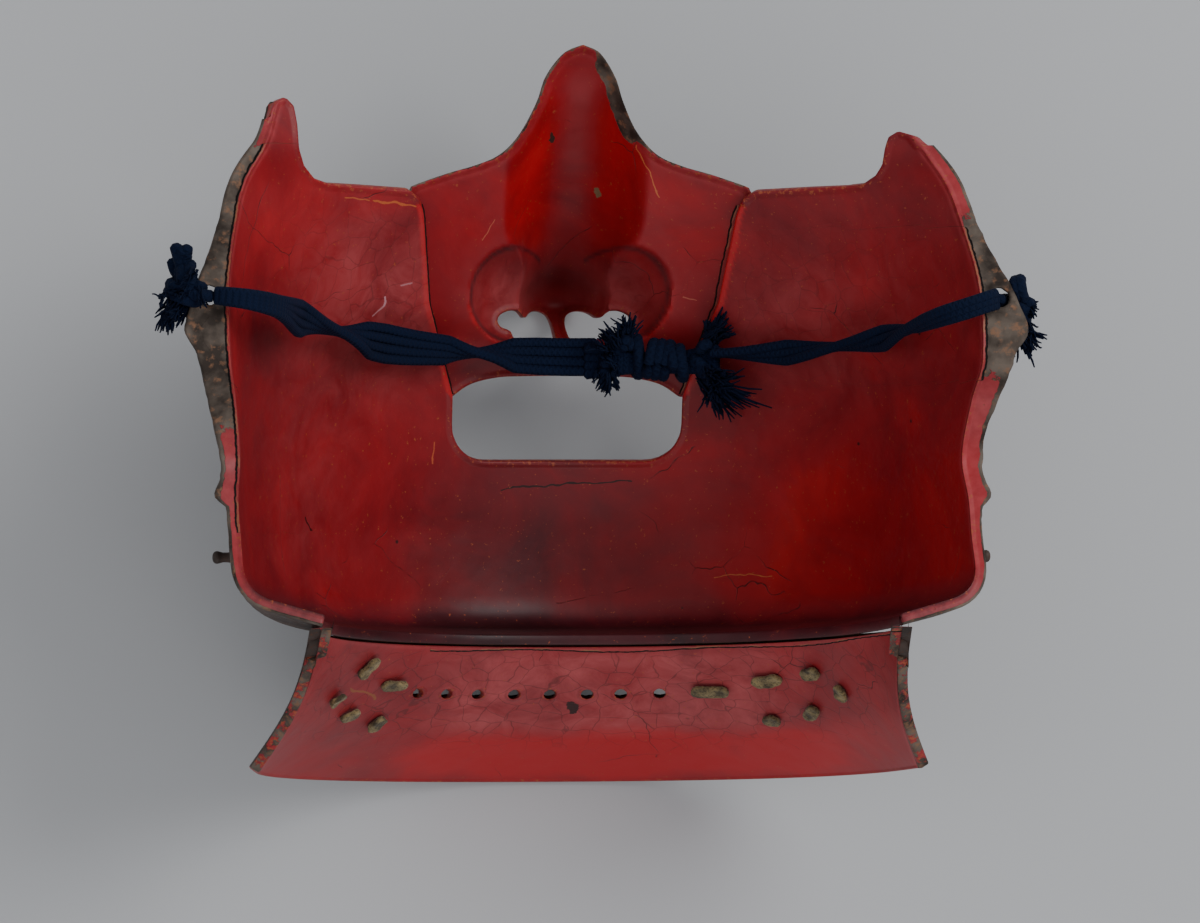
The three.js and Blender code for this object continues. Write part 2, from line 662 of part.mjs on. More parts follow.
// Route of each cord, from its hole down the inside of a cheek to the knot on the upper lip
const cordLeftPoints = [
  [-82.2, 25.4, 104.4], [-79.6, 25.1, 106.2], [-75.8, 24.6, 106.8], [-71.8, 23.9, 104.8],
  [-68.6, 23.1, 100.4], [-66.5, 22.4, 94.4], [-64.8, 21.8, 87.2], [-62.5, 21.0, 79.4],
  [-59.2, 20.1, 71.4], [-54.8, 19.0, 63.6], [-49.4, 17.7, 56.2], [-43.0, 16.6, 49.4],
  [-36.5, 15.8, 44.0], [-29.4, 15.3, 38.8], [-22.3, 14.8, 33.4], [-14.7, 14.4, 29.8],
  [-7.9, 14.2, 28.2], [-1.2, 14.0, 27.9], [6.2, 14.0, 28.5],
];
const cordRightPoints = [
  [82.2, 25.2, 104.0], [79.4, 24.4, 105.8], [75.8, 23.2, 106.0], [72.0, 21.9, 103.4],
  [69.2, 20.7, 98.0], [67.4, 19.6, 91.4], [65.8, 18.6, 84.0], [63.4, 17.6, 76.0],
  [59.8, 16.6, 68.2], [55.2, 15.8, 60.8], [49.6, 15.0, 54.0], [43.4, 14.6, 47.8],
  [37.0, 14.6, 42.8], [30.6, 14.8, 38.6],
];

// Knots in lumps: middle, then half sizes
const knotCentreLumps = [
  [[11.4, 15.6, 31.2], [4.8, 7.8, 4.0]],
  [[15.0, 13.6, 31.2], [5.0, 4.8, 3.8]],
  [[21.8, 13.6, 32.4], [7.4, 5.0, 4.6]],
  [[29.0, 8.6, 36.2], [4.6, 4.0, 3.6]],
  [[33.2, 7.4, 39.6], [4.6, 6.6, 4.0]],
  [[28.6, 18.0, 37.0], [4.2, 3.4, 3.4]],
  [[34.6, 20.8, 41.6], [4.6, 4.6, 3.4]],
];
const knotLeftLumps = [
  [[-89.6, 25.2, 100.8], [2.9, 5.4, 5.0]],
  [[-86.4, 24.6, 104.8], [3.4, 4.4, 2.8]],
  [[-89.2, 32.2, 99.8], [2.6, 4.8, 3.6]],
  [[-85.6, 25.4, 96.2], [4.4, 3.6, 3.0]],
];
const knotRightLumps = [
  [[87.0, 21.6, 95.0], [4.8, 6.4, 3.8]],
  [[88.4, 25.0, 97.0], [3.2, 4.0, 4.4]],
  [[88.6, 15.6, 95.4], [3.0, 4.6, 3.4]],
  [[84.0, 24.6, 96.4], [3.6, 3.0, 3.2]],
];

const guard = new THREE.Group();

function addPiece(name, geometry, material) {
  const mesh = new THREE.Mesh(geometry, material);
  mesh.name = name;
  guard.add(mesh);
}

const shell = faceShell();
const nose = nosePiece();
const flange = throatFlange(shell.crestUnder, shell.shares);
const throat = laceHoles.reduce((solid, at) => solid.subtract(laceDrill(at, flange.crest)), flange.solid);
addPiece("face_shell", toGeometry(shell.solid), lacquer);
addPiece("nose_piece", toGeometry(nose), lacquer);
addPiece("throat_flange", toGeometry(throat), lacquer);

[["jaw_peg_left", -1], ["jaw_peg_right", 1]].forEach(([name, side]) => {
  const peg = jawPeg(side);
  peg.name = name;
  guard.add(peg);
});

laces.forEach((lace, i) => {
  const strip = laceStrip(lace, flange.crest);
  strip.name = `lace_${i + 1}`;
  guard.add(strip);
});

addPiece("cord_left", cordTube(cordLeftPoints, cordLeftDiameter), braid);
addPiece("cord_right", cordTube(cordRightPoints, cordRightDiameter), braid);
const cordRoom = toSolid(cordTube(cordLeftPoints, cordLeftDiameter, jointGap))
  .add(toSolid(cordTube(cordRightPoints, cordRightDiameter, jointGap)));
const middleKnot = lumps(knotCentreLumps).subtract(cordRoom);
addPiece("knot_centre", toGeometry(clearOf(middleKnot, shell.solid.add(nose))), braid);
const outerKnots = { knot_left: knotLeftLumps, knot_right: knotRightLumps };
Object.entries(outerKnots).forEach(([name, list]) => {
  addPiece(name, toGeometry(clearOf(lumps(list).subtract(cordRoom), shell.solid)), braid);
});

// Stand the guard's own metal and leather on the floor, with the middle of its plan at the origin
const bounds = new THREE.Box3();
guard.updateMatrixWorld(true);
guard.children.filter((mesh) => mesh.material !== braid).forEach((mesh) => bounds.expandByObject(mesh));
const middle = bounds.getCenter(new THREE.Vector3());
guard.position.set(-middle.x, -middle.y, -bounds.min.z);

export default guard;
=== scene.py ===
import math

import bpy
import numpy as np
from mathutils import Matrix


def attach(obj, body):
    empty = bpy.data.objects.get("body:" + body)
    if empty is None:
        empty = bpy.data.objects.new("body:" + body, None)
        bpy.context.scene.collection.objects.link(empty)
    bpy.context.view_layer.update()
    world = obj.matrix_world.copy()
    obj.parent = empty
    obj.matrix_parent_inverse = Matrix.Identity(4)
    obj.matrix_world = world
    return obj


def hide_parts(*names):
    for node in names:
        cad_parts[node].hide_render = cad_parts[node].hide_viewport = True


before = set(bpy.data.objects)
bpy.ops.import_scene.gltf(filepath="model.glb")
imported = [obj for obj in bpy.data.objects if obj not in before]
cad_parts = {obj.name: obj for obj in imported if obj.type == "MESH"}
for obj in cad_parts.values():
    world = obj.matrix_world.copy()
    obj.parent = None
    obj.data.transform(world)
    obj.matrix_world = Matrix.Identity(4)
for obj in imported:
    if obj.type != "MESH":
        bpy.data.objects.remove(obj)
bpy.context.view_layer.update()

MM = 0.001

# Camera. A long lens looks straight down into the open back of the guard, which lies face down,
# leaning a little towards its left side.
CAMERA_LEAN = math.radians(6.7)
CAMERA_AWAY = 1.400
CAMERA_AIM = (0.0033, -0.0090, 0.060)
bpy.ops.object.camera_add(
    location=(
        CAMERA_AIM[0] - CAMERA_AWAY * math.sin(CAMERA_LEAN),
        CAMERA_AIM[1],
        CAMERA_AIM[2] + CAMERA_AWAY * math.cos(CAMERA_LEAN),
    ),
    rotation=(0, -CAMERA_LEAN, 0),
)
camera = bpy.context.object
camera.data.lens = 195
camera.data.sensor_width = 36
camera.data.clip_end = 10
bpy.context.scene.camera = camera


# Left cord. A flat bundle of four narrow cotton braids, dyed dark with indigo and tied through the
# left flange. It runs down the inside of the cheek, turns over once and ends in the knot on the lip.
def shade(hex_colour):
    """An sRGB hex colour as linear red, green, blue and alpha."""
    channels = [int(hex_colour[i:i + 2], 16) / 255 for i in (1, 3, 5)]
    return [c / 12.92 if c <= 0.04045 else ((c + 0.055) / 1.055) ** 2.4 for c in channels] + [1.0]


def add(tree, kind, sockets=None, out=0, **settings):
    """Adds a node with its settings, fills or links its sockets, and returns one of its outputs."""
    node = tree.nodes.new(kind)
    for name, value in settings.items():
        setattr(node, name, value)
    for name, value in (sockets or {}).items():
        if isinstance(value, bpy.types.NodeSocket):
            tree.links.new(value, node.inputs[name])
        else:
            node.inputs[name].default_value = value
    return node.outputs[out] if node.outputs else node


def new_material(name):
    """An empty material and its node tree."""
    material = bpy.data.materials.new(name)
    material.use_nodes = True
    material.node_tree.nodes.clear()
    return material, material.node_tree


PLAIT = 1.3  # length of one diamond of the plait in mm, a little coarser than real so that it shows


def indigo_cotton():
    """Braided cotton, dull and dark blue: each braid shows its diamond plait and a faint fuzz."""
    material, tree = new_material("indigo dyed cotton braid")
    place = add(tree, "ShaderNodeTexCoord", out="UV")
    parts = add(tree, "ShaderNodeSeparateXYZ", {0: place})
    along = parts
    around = parts.node.outputs["Y"]
    twice = add(tree, "ShaderNodeMath", {0: around, 1: 3.0}, operation="MULTIPLY")
    run = add(tree, "ShaderNodeMath", {0: along, 1: 1 / PLAIT}, operation="MULTIPLY")
    waves = []
    for operation in ("ADD", "SUBTRACT"):
        phase = add(tree, "ShaderNodeMath", {0: run, 1: twice}, operation=operation)
        turn = add(tree, "ShaderNodeMath", {0: phase, 1: 2 * math.pi}, operation="MULTIPLY")
        waves.append(add(tree, "ShaderNodeMath", {0: turn}, operation="SINE"))
    plaited = add(tree, "ShaderNodeMath", {0: waves[0], 1: waves[1]}, operation="MAXIMUM")
    where = add(tree, "ShaderNodeTexCoord", out="Object")
    fuzz = add(tree, "ShaderNodeTexNoise", {"Vector": where, "Scale": 1 / (0.35 * MM), "Detail": 4.0})
    faded = add(tree, "ShaderNodeTexNoise", {"Vector": where, "Scale": 1 / (9 * MM), "Detail": 3.0})
    light = add(tree, "ShaderNodeMath", {0: plaited, 1: 0.08, 2: 0.33}, operation="MULTIPLY_ADD")
    light = add(tree, "ShaderNodeMath", {0: faded, 1: 0.5, 2: light}, operation="MULTIPLY_ADD")
    light = add(tree, "ShaderNodeMath", {0: fuzz, 1: 0.4, 2: light}, operation="MULTIPLY_ADD")
    colour = add(tree, "ShaderNodeMix", {
        0: light, 6: shade("#01040A"), 7: shade("#07142E"),
    }, out=2, data_type="RGBA")
    height = add(tree, "ShaderNodeMath", {0: fuzz, 1: 0.8, 2: plaited}, operation="MULTIPLY_ADD")
    bump = add(tree, "ShaderNodeBump", {"Height": height, "Distance": 0.18 * MM, "Strength": 0.7})
    skin = add(tree, "ShaderNodeBsdfPrincipled", {
        "Base Color": colour, "Roughness": 0.92, "Specular IOR Level": 0.15, "Sheen Weight": 0.02,
        "Sheen Roughness": 0.5, "Sheen Tint": shade("#5468A0"), "Normal": bump,
    })
    add(tree, "ShaderNodeOutputMaterial", {0: skin})
    return material


COTTON = indigo_cotton()


def smooth_line(points, step):
    """A smooth curve through points in mm, given back in metres at even steps of step mm."""
    p = np.array(points, float)
    p = np.vstack([2 * p[0] - p[1], p, 2 * p[-1] - p[-2]])
    t = np.linspace(0, 1, 24, endpoint=False)[:, None]
    spans = []
    for a, b, c, d in zip(p, p[1:], p[2:], p[3:]):
        spans.append(0.5 * (2 * b + (c - a) * t + (2 * a - 5 * b + 4 * c - d) * t ** 2
                            + (3 * b - a - 3 * c + d) * t ** 3))
    fine = np.vstack(spans + [p[-2][None, :]])
    run = np.concatenate([[0], np.cumsum(np.linalg.norm(np.diff(fine, axis=0), axis=1))])
    wanted = np.linspace(0, run[-1], max(int(run[-1] / step), 4))
    return np.stack([np.interp(wanted, run, fine[:, k]) for k in range(3)], axis=1) * MM


def tubes(name, lines, radius, sides, plait=0.0, across=(0.13, 0.35, 0.93), tip=0.5):
    """One mesh of round tubes along lines of points, with its UVs in mm along and turns around."""
    places, faces, uvs = [], [], []
    turn = np.arange(sides) * 2 * math.pi / sides
    for line in lines:
        line = np.asarray(line)
        n = len(line)
        ahead = np.gradient(line, axis=0)
        ahead /= np.linalg.norm(ahead, axis=1)[:, None]
        side = np.cross(ahead, across)
        side /= np.linalg.norm(side, axis=1)[:, None]
        up = np.cross(ahead, side)
        run = np.concatenate([[0], np.cumsum(np.linalg.norm(np.diff(line, axis=0), axis=1))]) / MM
        size = np.ones(n)
        size[[0, -1]] = tip
        phase = 2 * math.pi * run[:, None] / PLAIT
        wave = np.maximum(np.sin(phase + 2 * turn), np.sin(phase - 2 * turn))
        r = radius * size[:, None] * (1 + plait * wave)
        ring = line[:, None] + r[..., None] * (np.cos(turn)[:, None] * side[:, None]
                                               + np.sin(turn)[:, None] * up[:, None])
        start = len(places)
        places.extend(ring.reshape(-1, 3).tolist())
        for i in range(n - 1):
            for j in range(sides):
                k = (j + 1) % sides
                faces.append((start + i * sides + j, start + i * sides + k,
                              start + (i + 1) * sides + k, start + (i + 1) * sides + j))
                u, w = run[i], run[i + 1]
                uvs.extend([(u, j / sides), (u, (j + 1) / sides), (w, (j + 1) / sides), (w, j / sides)])
        faces.append(tuple(start + j for j in reversed(range(sides))))
        faces.append(tuple(start + (n - 1) * sides + j for j in range(sides)))
        uvs.extend([(0.0, 0.0)] * sides + [(run[-1], 0.0)] * sides)
    mesh = bpy.data.meshes.new(name)
    mesh.from_pydata(places, [], faces)
    layer = mesh.uv_layers.new(name="run")
    layer.data.foreach_set("uv", np.array(uvs, np.float32).ravel())
    mesh.shade_smooth()
    obj = bpy.data.objects.new(name, mesh)
    bpy.context.scene.collection.objects.link(obj)
    mesh.materials.append(COTTON)
    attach(obj, "root")
    return obj


def strands(centre, offsets, turns, width, squeeze, lift):
    """Lines of the braids in a flat bundle, which turns about its middle and narrows along its way."""
    ahead = np.gradient(centre, axis=0)
    ahead /= np.linalg.norm(ahead, axis=1)[:, None]
    across = np.array([0.0, 1.0, 0.0]) - ahead * ahead[:, 1:2]
    across /= np.linalg.norm(across, axis=1)[:, None]
    up = np.cross(ahead, across)
    up *= np.sign(up[:, 2:3])
    on_edge = np.abs(np.sin(turns))[:, None]
    middle = centre + up * lift * MM * on_edge
    lines = []
    for offset in offsets:
        reach = offset * MM * width[:, None] * (1 - squeeze * on_edge)
        lines.append(middle + reach * (np.cos(turns)[:, None] * across + np.sin(turns)[:, None] * up))
    return lines


LEFT_BRAID_RADIUS = 1.12
# The route in mm, from the flange's hole to the knot.
CORD_LEFT = [
    (-82.2, 25.4, 104.4), (-79.6, 25.1, 106.2), (-75.8, 24.6, 106.8), (-71.8, 23.9, 104.8),
    (-68.6, 23.1, 100.4), (-66.5, 22.4, 94.4), (-64.8, 21.8, 87.2), (-62.5, 21.0, 79.4),
    (-59.2, 20.1, 71.4), (-54.8, 19.0, 63.6), (-49.4, 17.7, 56.2), (-43.0, 16.6, 49.4),
    (-36.5, 15.8, 44.0), (-29.4, 15.3, 38.8), (-22.3, 14.8, 33.4), (-14.7, 14.4, 29.8),
    (-7.9, 14.2, 28.2), (-1.2, 14.0, 27.9), (6.2, 14.0, 28.5),
]
left_line = smooth_line(CORD_LEFT, 0.4)
left_share = np.linspace(0, 1, len(left_line))
left_turns = math.pi * np.interp(
    left_share, [0, 0.30, 0.43, 0.54, 0.72, 0.86, 1], [0, 0.04, 0.5, 0.96, 1.12, 1.95, 2.0])
left_width = np.interp(
    left_share, [0, 0.12, 0.28, 0.43, 0.55, 0.78, 0.90, 1], [0.25, 0.45, 1.0, 0.75, 1.08, 0.9, 1.05, 1.0])
left_lines = strands(left_line, (-3.1, -1.05, 1.05, 3.1), left_turns, left_width, 0.58, 0.7)
cord_left = tubes("tie_left", left_lines, LEFT_BRAID_RADIUS * MM, 12, plait=0.012)
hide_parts("cord_left")


# Right cord. Three of the same braids, pulled narrower and twisted together, from the knot up to
# the hole in the right flange.
RIGHT_BRAID_RADIUS = 1.06
# The route in mm, from the flange's hole to the knot.
CORD_RIGHT = [
    (82.2, 25.2, 104.0), (79.4, 24.4, 105.8), (75.8, 23.2, 106.0), (72.0, 21.9, 103.4),
    (69.2, 20.7, 98.0), (67.4, 19.6, 91.4), (65.8, 18.6, 84.0), (63.4, 17.6, 76.0),
    (59.8, 16.6, 68.2), (55.2, 15.8, 60.8), (49.6, 15.0, 54.0), (43.4, 14.6, 47.8),
    (37.0, 14.6, 42.8), (30.6, 14.8, 38.6),
]
right_line = smooth_line(CORD_RIGHT, 0.4)
right_share = np.linspace(0, 1, len(right_line))
right_turns = math.pi * np.interp(right_share, [0, 0.3, 0.6, 1], [0, 0.5, 1.4, 2.6])
right_width = np.interp(right_share, [0, 0.2, 0.8, 1], [0.7, 1.1, 1.0, 0.8])
right_lines = strands(right_line, (-1.8, 0.0, 1.8), right_turns, right_width, 0.4, 0.3)
cord_right = tubes("tie_right", right_lines, RIGHT_BRAID_RADIUS * MM, 12, plait=0.012)
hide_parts("cord_right")


# Knots. The left cord's end is wrapped round the right cord's on the upper lip, and both cut ends
# are teased out into brushes of single threads. An overhand knot stops each cord outside its hole.
KNOT_BRAID_RADIUS = 1.3
THREAD_RADIUS = 0.24


def brush(seed, root, ahead, length, spread, count, width):
    """Loose threads from near one place, fanning out and curling, as lines of points in metres."""
    rng = np.random.default_rng(seed)
    root = np.array(root, float)
    ahead = np.array(ahead, float) / np.linalg.norm(ahead)
    lines = []
    threads_in_lock = 13
    for _ in range(count // 8):
        lock = ahead + rng.normal(0, spread, 3)
        lock_root = root + rng.normal(0, width * 0.8, 3)
        lock_curl = rng.normal(0, 0.35, 3)
        lock_length = length * rng.uniform(0.7, 1.05)
        for _ in range(threads_in_lock):
            heading = lock + rng.normal(0, 0.12, 3)
            heading /= np.linalg.norm(heading)
            curl = lock_curl + rng.normal(0, 0.20, 3)
            reach = lock_length * rng.uniform(0.78, 1.0)
            t = np.linspace(0, 1, 7)[:, None]
            line = lock_root + rng.normal(0, 0.4, 3) + reach * (heading * t + curl * t ** 2 * 0.8)
            line[1:] += rng.normal(0, 0.10, (6, 3))
            lines.append(line * MM)
    return lines


def stubs(seed, root, ahead, length, width, count):
    """Cut ends of braids lying side by side, as short lines of points in metres."""
    rng = np.random.default_rng(seed)
    ahead = np.array(ahead, float) / np.linalg.norm(ahead)
    lines = []
    for _ in range(count):
        start = np.array(root) + rng.normal(0, width * 0.6, 3) - ahead
        end = start + length * (ahead + rng.normal(0, 0.16, 3))
        middle = (start + end) / 2 + rng.normal(0, 0.5, 3)
        lines.append(smooth_line([start, middle, end], 0.5))
    return lines


def winding(middle, axis, radius, turns, advance, squash=1.0, start=0.0):
    """A cord wound round an axis, as a line of points in metres."""
    axis = np.array(axis, float) / np.linalg.norm(axis)
    side = np.cross(axis, (0, 0, 1))
    side /= np.linalg.norm(side)
    up = np.cross(side, axis)
    t = np.linspace(0, 1, int(26 * turns))[:, None]
    angle = start + 2 * math.pi * turns * t
    line = np.array(middle) + radius * (np.cos(angle) * side + squash * np.sin(angle) * up)
    return (line + axis * advance * (t - 0.5)) * MM


def knot(name, node, loops, threads, core):
    """A knot of braid loops with brushes of threads, joined as one piece."""
    cords = tubes(name, loops + core, KNOT_BRAID_RADIUS * MM, 10, plait=0.02, across=(0.2, 0.9, 0.35))
    hair = tubes(name + "_threads", threads, THREAD_RADIUS * MM, 4, across=(0.9, 0.2, 0.3), tip=0.6)
    bpy.ops.object.select_all(action="DESELECT")
    hair.select_set(True)
    cords.select_set(True)
    bpy.context.view_layer.objects.active = cords
    bpy.ops.object.join()
    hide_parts(node)
    return cords


centre_loops = [
    winding((19.6, 13.4, 32.6), (1, -0.10, 0.16), 3.5, 2.6, 4.6, 0.85),
    winding((23.6, 12.6, 34.0), (1, 0.25, 0.1), 3.3, 1.3, 2.4, 0.9, 1.2),
    winding((14.6, 14.0, 30.6), (1, 0.15, 0.0), 3.9, 1.3, 2.2, 0.75, 2.0),
]
centre_core = [
    smooth_line([
        (3.4, 12.2 + 1.9 * k, 28.6 + 0.2 * k), (10, 12.4 + 1.3 * k, 30.4), (15, 12.4 + 0.8 * k, 31.4),
        (21, 12.2 + 0.6 * k, 32.8), (28, 12.6 + 1.1 * k, 36.4), (32, 13.4 + 1.2 * k, 39.0),
    ], 0.5)
    for k in (-1, 0, 1, 2)
]
centre_core += stubs(43, (29.0, 16.0, 37.4), (0.6, 0.68, 0.3), 4.4, 1.0, 4)
centre_core += stubs(44, (27.6, 12.4, 36.4), (0.64, -0.72, 0.36), 7.0, 1.3, 7)
centre_core += stubs(45, (10.4, 16.0, 31.8), (0.0, 0.95, 0.2), 4.0, 1.6, 5)
centre_core += stubs(46, (8.0, 12.0, 31.0), (-0.2, -0.9, 0.1), 3.4, 1.2, 4)
centre_threads = (
    brush(3, (10.8, 17.4, 32.0), (-0.05, 0.95, 0.25), 5.4, 0.34, 64, 1.8)
    + brush(4, (8.8, 14.4, 32.6), (-0.55, 0.5, 0.35), 3.8, 0.40, 40, 1.8)
    + brush(5, (7.6, 10.6, 31.2), (-0.15, -0.9, 0.1), 3.8, 0.30, 56, 1.3)
    + brush(6, (30.0, 17.4, 37.8), (0.6, 0.68, 0.3), 6.0, 0.26, 48, 1.2)
    + brush(7, (29.2, 10.8, 37.0), (0.64, -0.72, 0.36), 8.2, 0.15, 136, 1.6)
)
knot_centre = knot("knot_on_lip", "knot_centre", centre_loops, centre_threads, centre_core)

left_loops = [
    winding((-88.2, 26.4, 101.0), (0.25, 1, 0.1), 3.2, 2.2, 3.6, 1.0),
    winding((-87.4, 29.0, 101.6), (1, 0.2, 0.3), 2.6, 1.4, 2.0, 1.0, 0.8),
]
left_core = [smooth_line([(-82.6, 25.2, 103.6), (-85.0, 25.4, 105.0), (-87.6, 25.6, 103.8),
                          (-89.6, 25.4, 100.4)], 0.5)]
left_core += stubs(47, (-88.4, 29.6, 101.4), (-0.05, 1.0, 0.2), 6.0, 0.9, 6)
left_threads = (
    brush(11, (-88.2, 27.0, 103.6), (-0.3, -0.7, 0.6), 4.4, 0.40, 72, 2.2)
    + brush(12, (-89.4, 24.0, 100.0), (-0.35, -0.85, 0.1), 4.6, 0.30, 72, 1.6)
    + brush(13, (-86.4, 22.8, 100.6), (0.4, -0.85, 0.1), 4.0, 0.4, 30, 1.0)
)
knot_left = knot("knot_left_outside", "knot_left", left_loops, left_threads, left_core)

right_loops = [
    winding((87.4, 23.6, 96.4), (0.3, 1, 0.1), 2.9, 2.2, 3.8, 1.0),
    winding((88.2, 27.0, 97.6), (1, 0.3, 0.3), 2.3, 1.4, 1.6, 1.0, 0.8),
]
right_core = [smooth_line([(82.8, 25.0, 101.8), (84.4, 25.0, 98.6), (86.8, 24.4, 96.2),
                           (88.4, 22.2, 95.4)], 0.5)]
right_threads = (
    brush(14, (88.4, 19.6, 95.6), (0.25, -0.9, 0.15), 4.6, 0.20, 104, 1.5)
    + brush(15, (89.0, 24.0, 97.0), (0.5, -0.4, 0.3), 2.2, 0.4, 40, 1.2)
)
knot_right = knot("knot_right_outside", "knot_right", right_loops, right_threads, right_core)


# Face shell. One sheet of iron, raised and hammered over the chin and cheeks, with its rear edges
# turned out as flanges and a shelf turned in under the chin. Inside it wears thick vermilion lacquer.
HALF_HEIGHT = 81        # middle to the bridge's top, and down to the throat flange's edge
FACE_HALF_WIDTH = 79    # middle of the face to the bend of a rear flange
FACE_DEPTH = 114        # floor to the jaw's rear corner
WALL = 2.3              # lacquered sheet iron
JOINT_GAP = 0.3         # between sheets that lie on each other
JAW_DROP = 45.8         # middle line to the fold under the chin
JAW_RISE = 9.8          # how much higher that fold is at the rear corners
CHIN_RADIUS = 6         # of the fold's inside
CREST_HALF_WIDTH = 60   # of the shelf's inner edge
CREST_HEIGHT = 42       # of that edge above the floor, at the middle
CREST_DROP = 46.8       # middle line down to that edge
CREST_RISE = 6.1        # how much higher that edge is at its rear ends
FLANGE_REACH = 9.5      # of the rear flanges at their tips
FLANGE_LIFT = math.radians(12)
CORD_HOLE_INSET = 4     # from the bend line to the hole's middle
CORD_HOLE_HEIGHT = 25.5
CORD_HOLE_RADIUS = 2.1
MOUTH_HALF_WIDTH = 25.3
MOUTH_BOTTOM = 9        # below the middle line
MOUTH_CORNER = 5.3      # above the middle line, where the nose piece starts
MOUTH_RADIUS = 8
LIP_HEIGHT = 10         # middle of the upper lip's edge above the middle line
SEAM_MIDDLE = 31.6      # half width between the cheeks' edges beside the nose wings
SEAM_TOP = 34.2         # and at the cheeks' upper rim
LAP_WIDTH = 5           # of the nose piece under each cheek
CHEEK_RIM = 49.3        # height of the cheeks' upper rim
HORN_LEFT = 19.1        # height of the left horn above that rim
HORN_RIGHT = 12.5
WING_HEIGHT = 27.7      # middle of a nose wing up the face
ACROSS_HALF = 128       # columns of the shell's grid on each side of its middle
FLANGE_COLUMNS = 7      # and across each rear flange

# Sections of the face as shares: its floor and rear edge above the ground, and its half width.
FACE = {
    "height": [-0.58, -0.46, -0.31, -0.21, -0.10, 0.05, 0.15, 0.35, 0.54, 0.62, 0.72, 0.85, 1.00],
    "floor": [0.130, 0.124, 0.132, 0.148, 0.167, 0.195, 0.215, 0.278, 0.362, 0.395, 0.440, 0.497, 0.565],
    "half": [0.955, 0.968, 0.972, 0.975, 0.967, 0.983, 1.000, 1.000, 0.968, 0.943, 0.885, 0.842, 0.740],
    "back": [1.000, 1.000, 0.912, 0.866, 0.826, 0.870, 0.918, 0.873, 0.778, 0.745, 0.710, 0.660, 0.600],
    "roundness": [2.10, 2.10, 2.10, 2.05, 2.00, 2.00, 1.95, 1.75, 1.55, 1.50, 1.50, 1.50, 1.50],
    "close": [0.990, 0.990, 0.990, 0.985, 0.985, 0.985, 0.980, 0.970, 0.955, 0.950, 0.920, 0.900, 0.900],
}
# Reach of the rear flanges up the face, with their spurs and the tip at the cord hole.
FLANGE = {
    "height": [-0.60, -0.23, -0.20, -0.15, -0.03, 0.05, 0.17, 0.235, 0.30, 0.40, 0.50, 0.62, 0.80],
    "reach": [0.285, 0.285, 0.53, 0.42, 0.50, 0.60, 0.74, 1.00, 0.86, 0.60, 0.42, 0.36, 0.285],
}
CHEEK_RIM_POINTS = [(0.473, 1.0), (0.610, 1.012), (0.703, 1.018)]
HORN_POINTS = [(0.745, 0.10), (0.775, 0.24), (0.790, 0.42), (0.795, 0.70), (0.804, 0.90), (0.828, 1.00),
               (0.860, 0.93), (0.882, 0.74)]


def curve_through(table, column, at):
    """Values of a column of a table at heights, along a smooth curve through its rows."""
    heights = np.array(table["height"])
    values = np.array(table[column])
    slopes = np.gradient(values)
    slopes[1:-1] = (values[2:] - values[:-2]) / (heights[2:] - heights[:-2])
    slopes[0] = (values[1] - values[0]) / (heights[1] - heights[0])
    slopes[-1] = (values[-1] - values[-2]) / (heights[-1] - heights[-2])
    at = np.clip(at, heights[0], heights[-1])
    i = np.clip(np.searchsorted(heights, at, side="right") - 1, 0, len(heights) - 2)
    step = heights[i + 1] - heights[i]
    u = (at - heights[i]) / step
    return ((2 * u ** 3 - 3 * u ** 2 + 1) * values[i] + (u ** 3 - 2 * u ** 2 + u) * step * slopes[i]
            + (3 * u ** 2 - 2 * u ** 3) * values[i + 1] + (u ** 3 - u ** 2) * step * slopes[i + 1])


def section_height(y, share):
    """Height of the face's inside at y, a share of the way out to the bend."""
    at = y / HALF_HEIGHT
    floor = FACE_DEPTH * curve_through(FACE, "floor", at)
    back = FACE_DEPTH * curve_through(FACE, "back", at)
    n = curve_through(FACE, "roundness", at)
    close = curve_through(FACE, "close", at)

    def bow(v):
        return 1 - (1 - v ** n) ** (1 / n)

    return floor + (back - floor) * bow(close * share) / bow(close)


def bend_half_width(y):
    """Half width of the face at its bend into the rear flanges."""
    return FACE_HALF_WIDTH * curve_through(FACE, "half", y / HALF_HEIGHT)


def face_height(x, y):
    """Height of the face's inside above the floor."""
    return section_height(y, np.minimum(np.abs(x) / bend_half_width(y), 1))


def unit(v):
    """Vectors scaled to length 1."""
    return v / np.maximum(np.linalg.norm(v, axis=-1, keepdims=True), 1e-9)


def grid_normals(grid):
    """Normals of a grid of points, pointing away from its lacquered side."""
    return unit(np.cross(np.gradient(grid, axis=1), np.gradient(grid, axis=0)))


def from_outline(points, x, y):
    """Signed distance in plan from a closed outline, positive inside it, and the nearest place on it."""
    best = np.full(x.shape, 1e9)
    near_x, near_y = x.copy(), y.copy()
    inside = np.zeros(x.shape, bool)
    for (ax, ay), (bx, by) in zip(points, points[1:] + points[:1]):
        dx, dy = bx - ax, by - ay
        t = np.clip(((x - ax) * dx + (y - ay) * dy) / max(dx * dx + dy * dy, 1e-12), 0, 1)
        px, py = ax + t * dx, ay + t * dy
        away = np.hypot(x - px, y - py)
        closer = away < best
        best = np.where(closer, away, best)
        near_x = np.where(closer, px, near_x)
        near_y = np.where(closer, py, near_y)
        if dy:
            crosses = ((ay > y) != (by > y)) & (x < ax + (y - ay) * dx / dy)
            inside ^= crosses
    return np.where(inside, best, -best), near_x, near_y


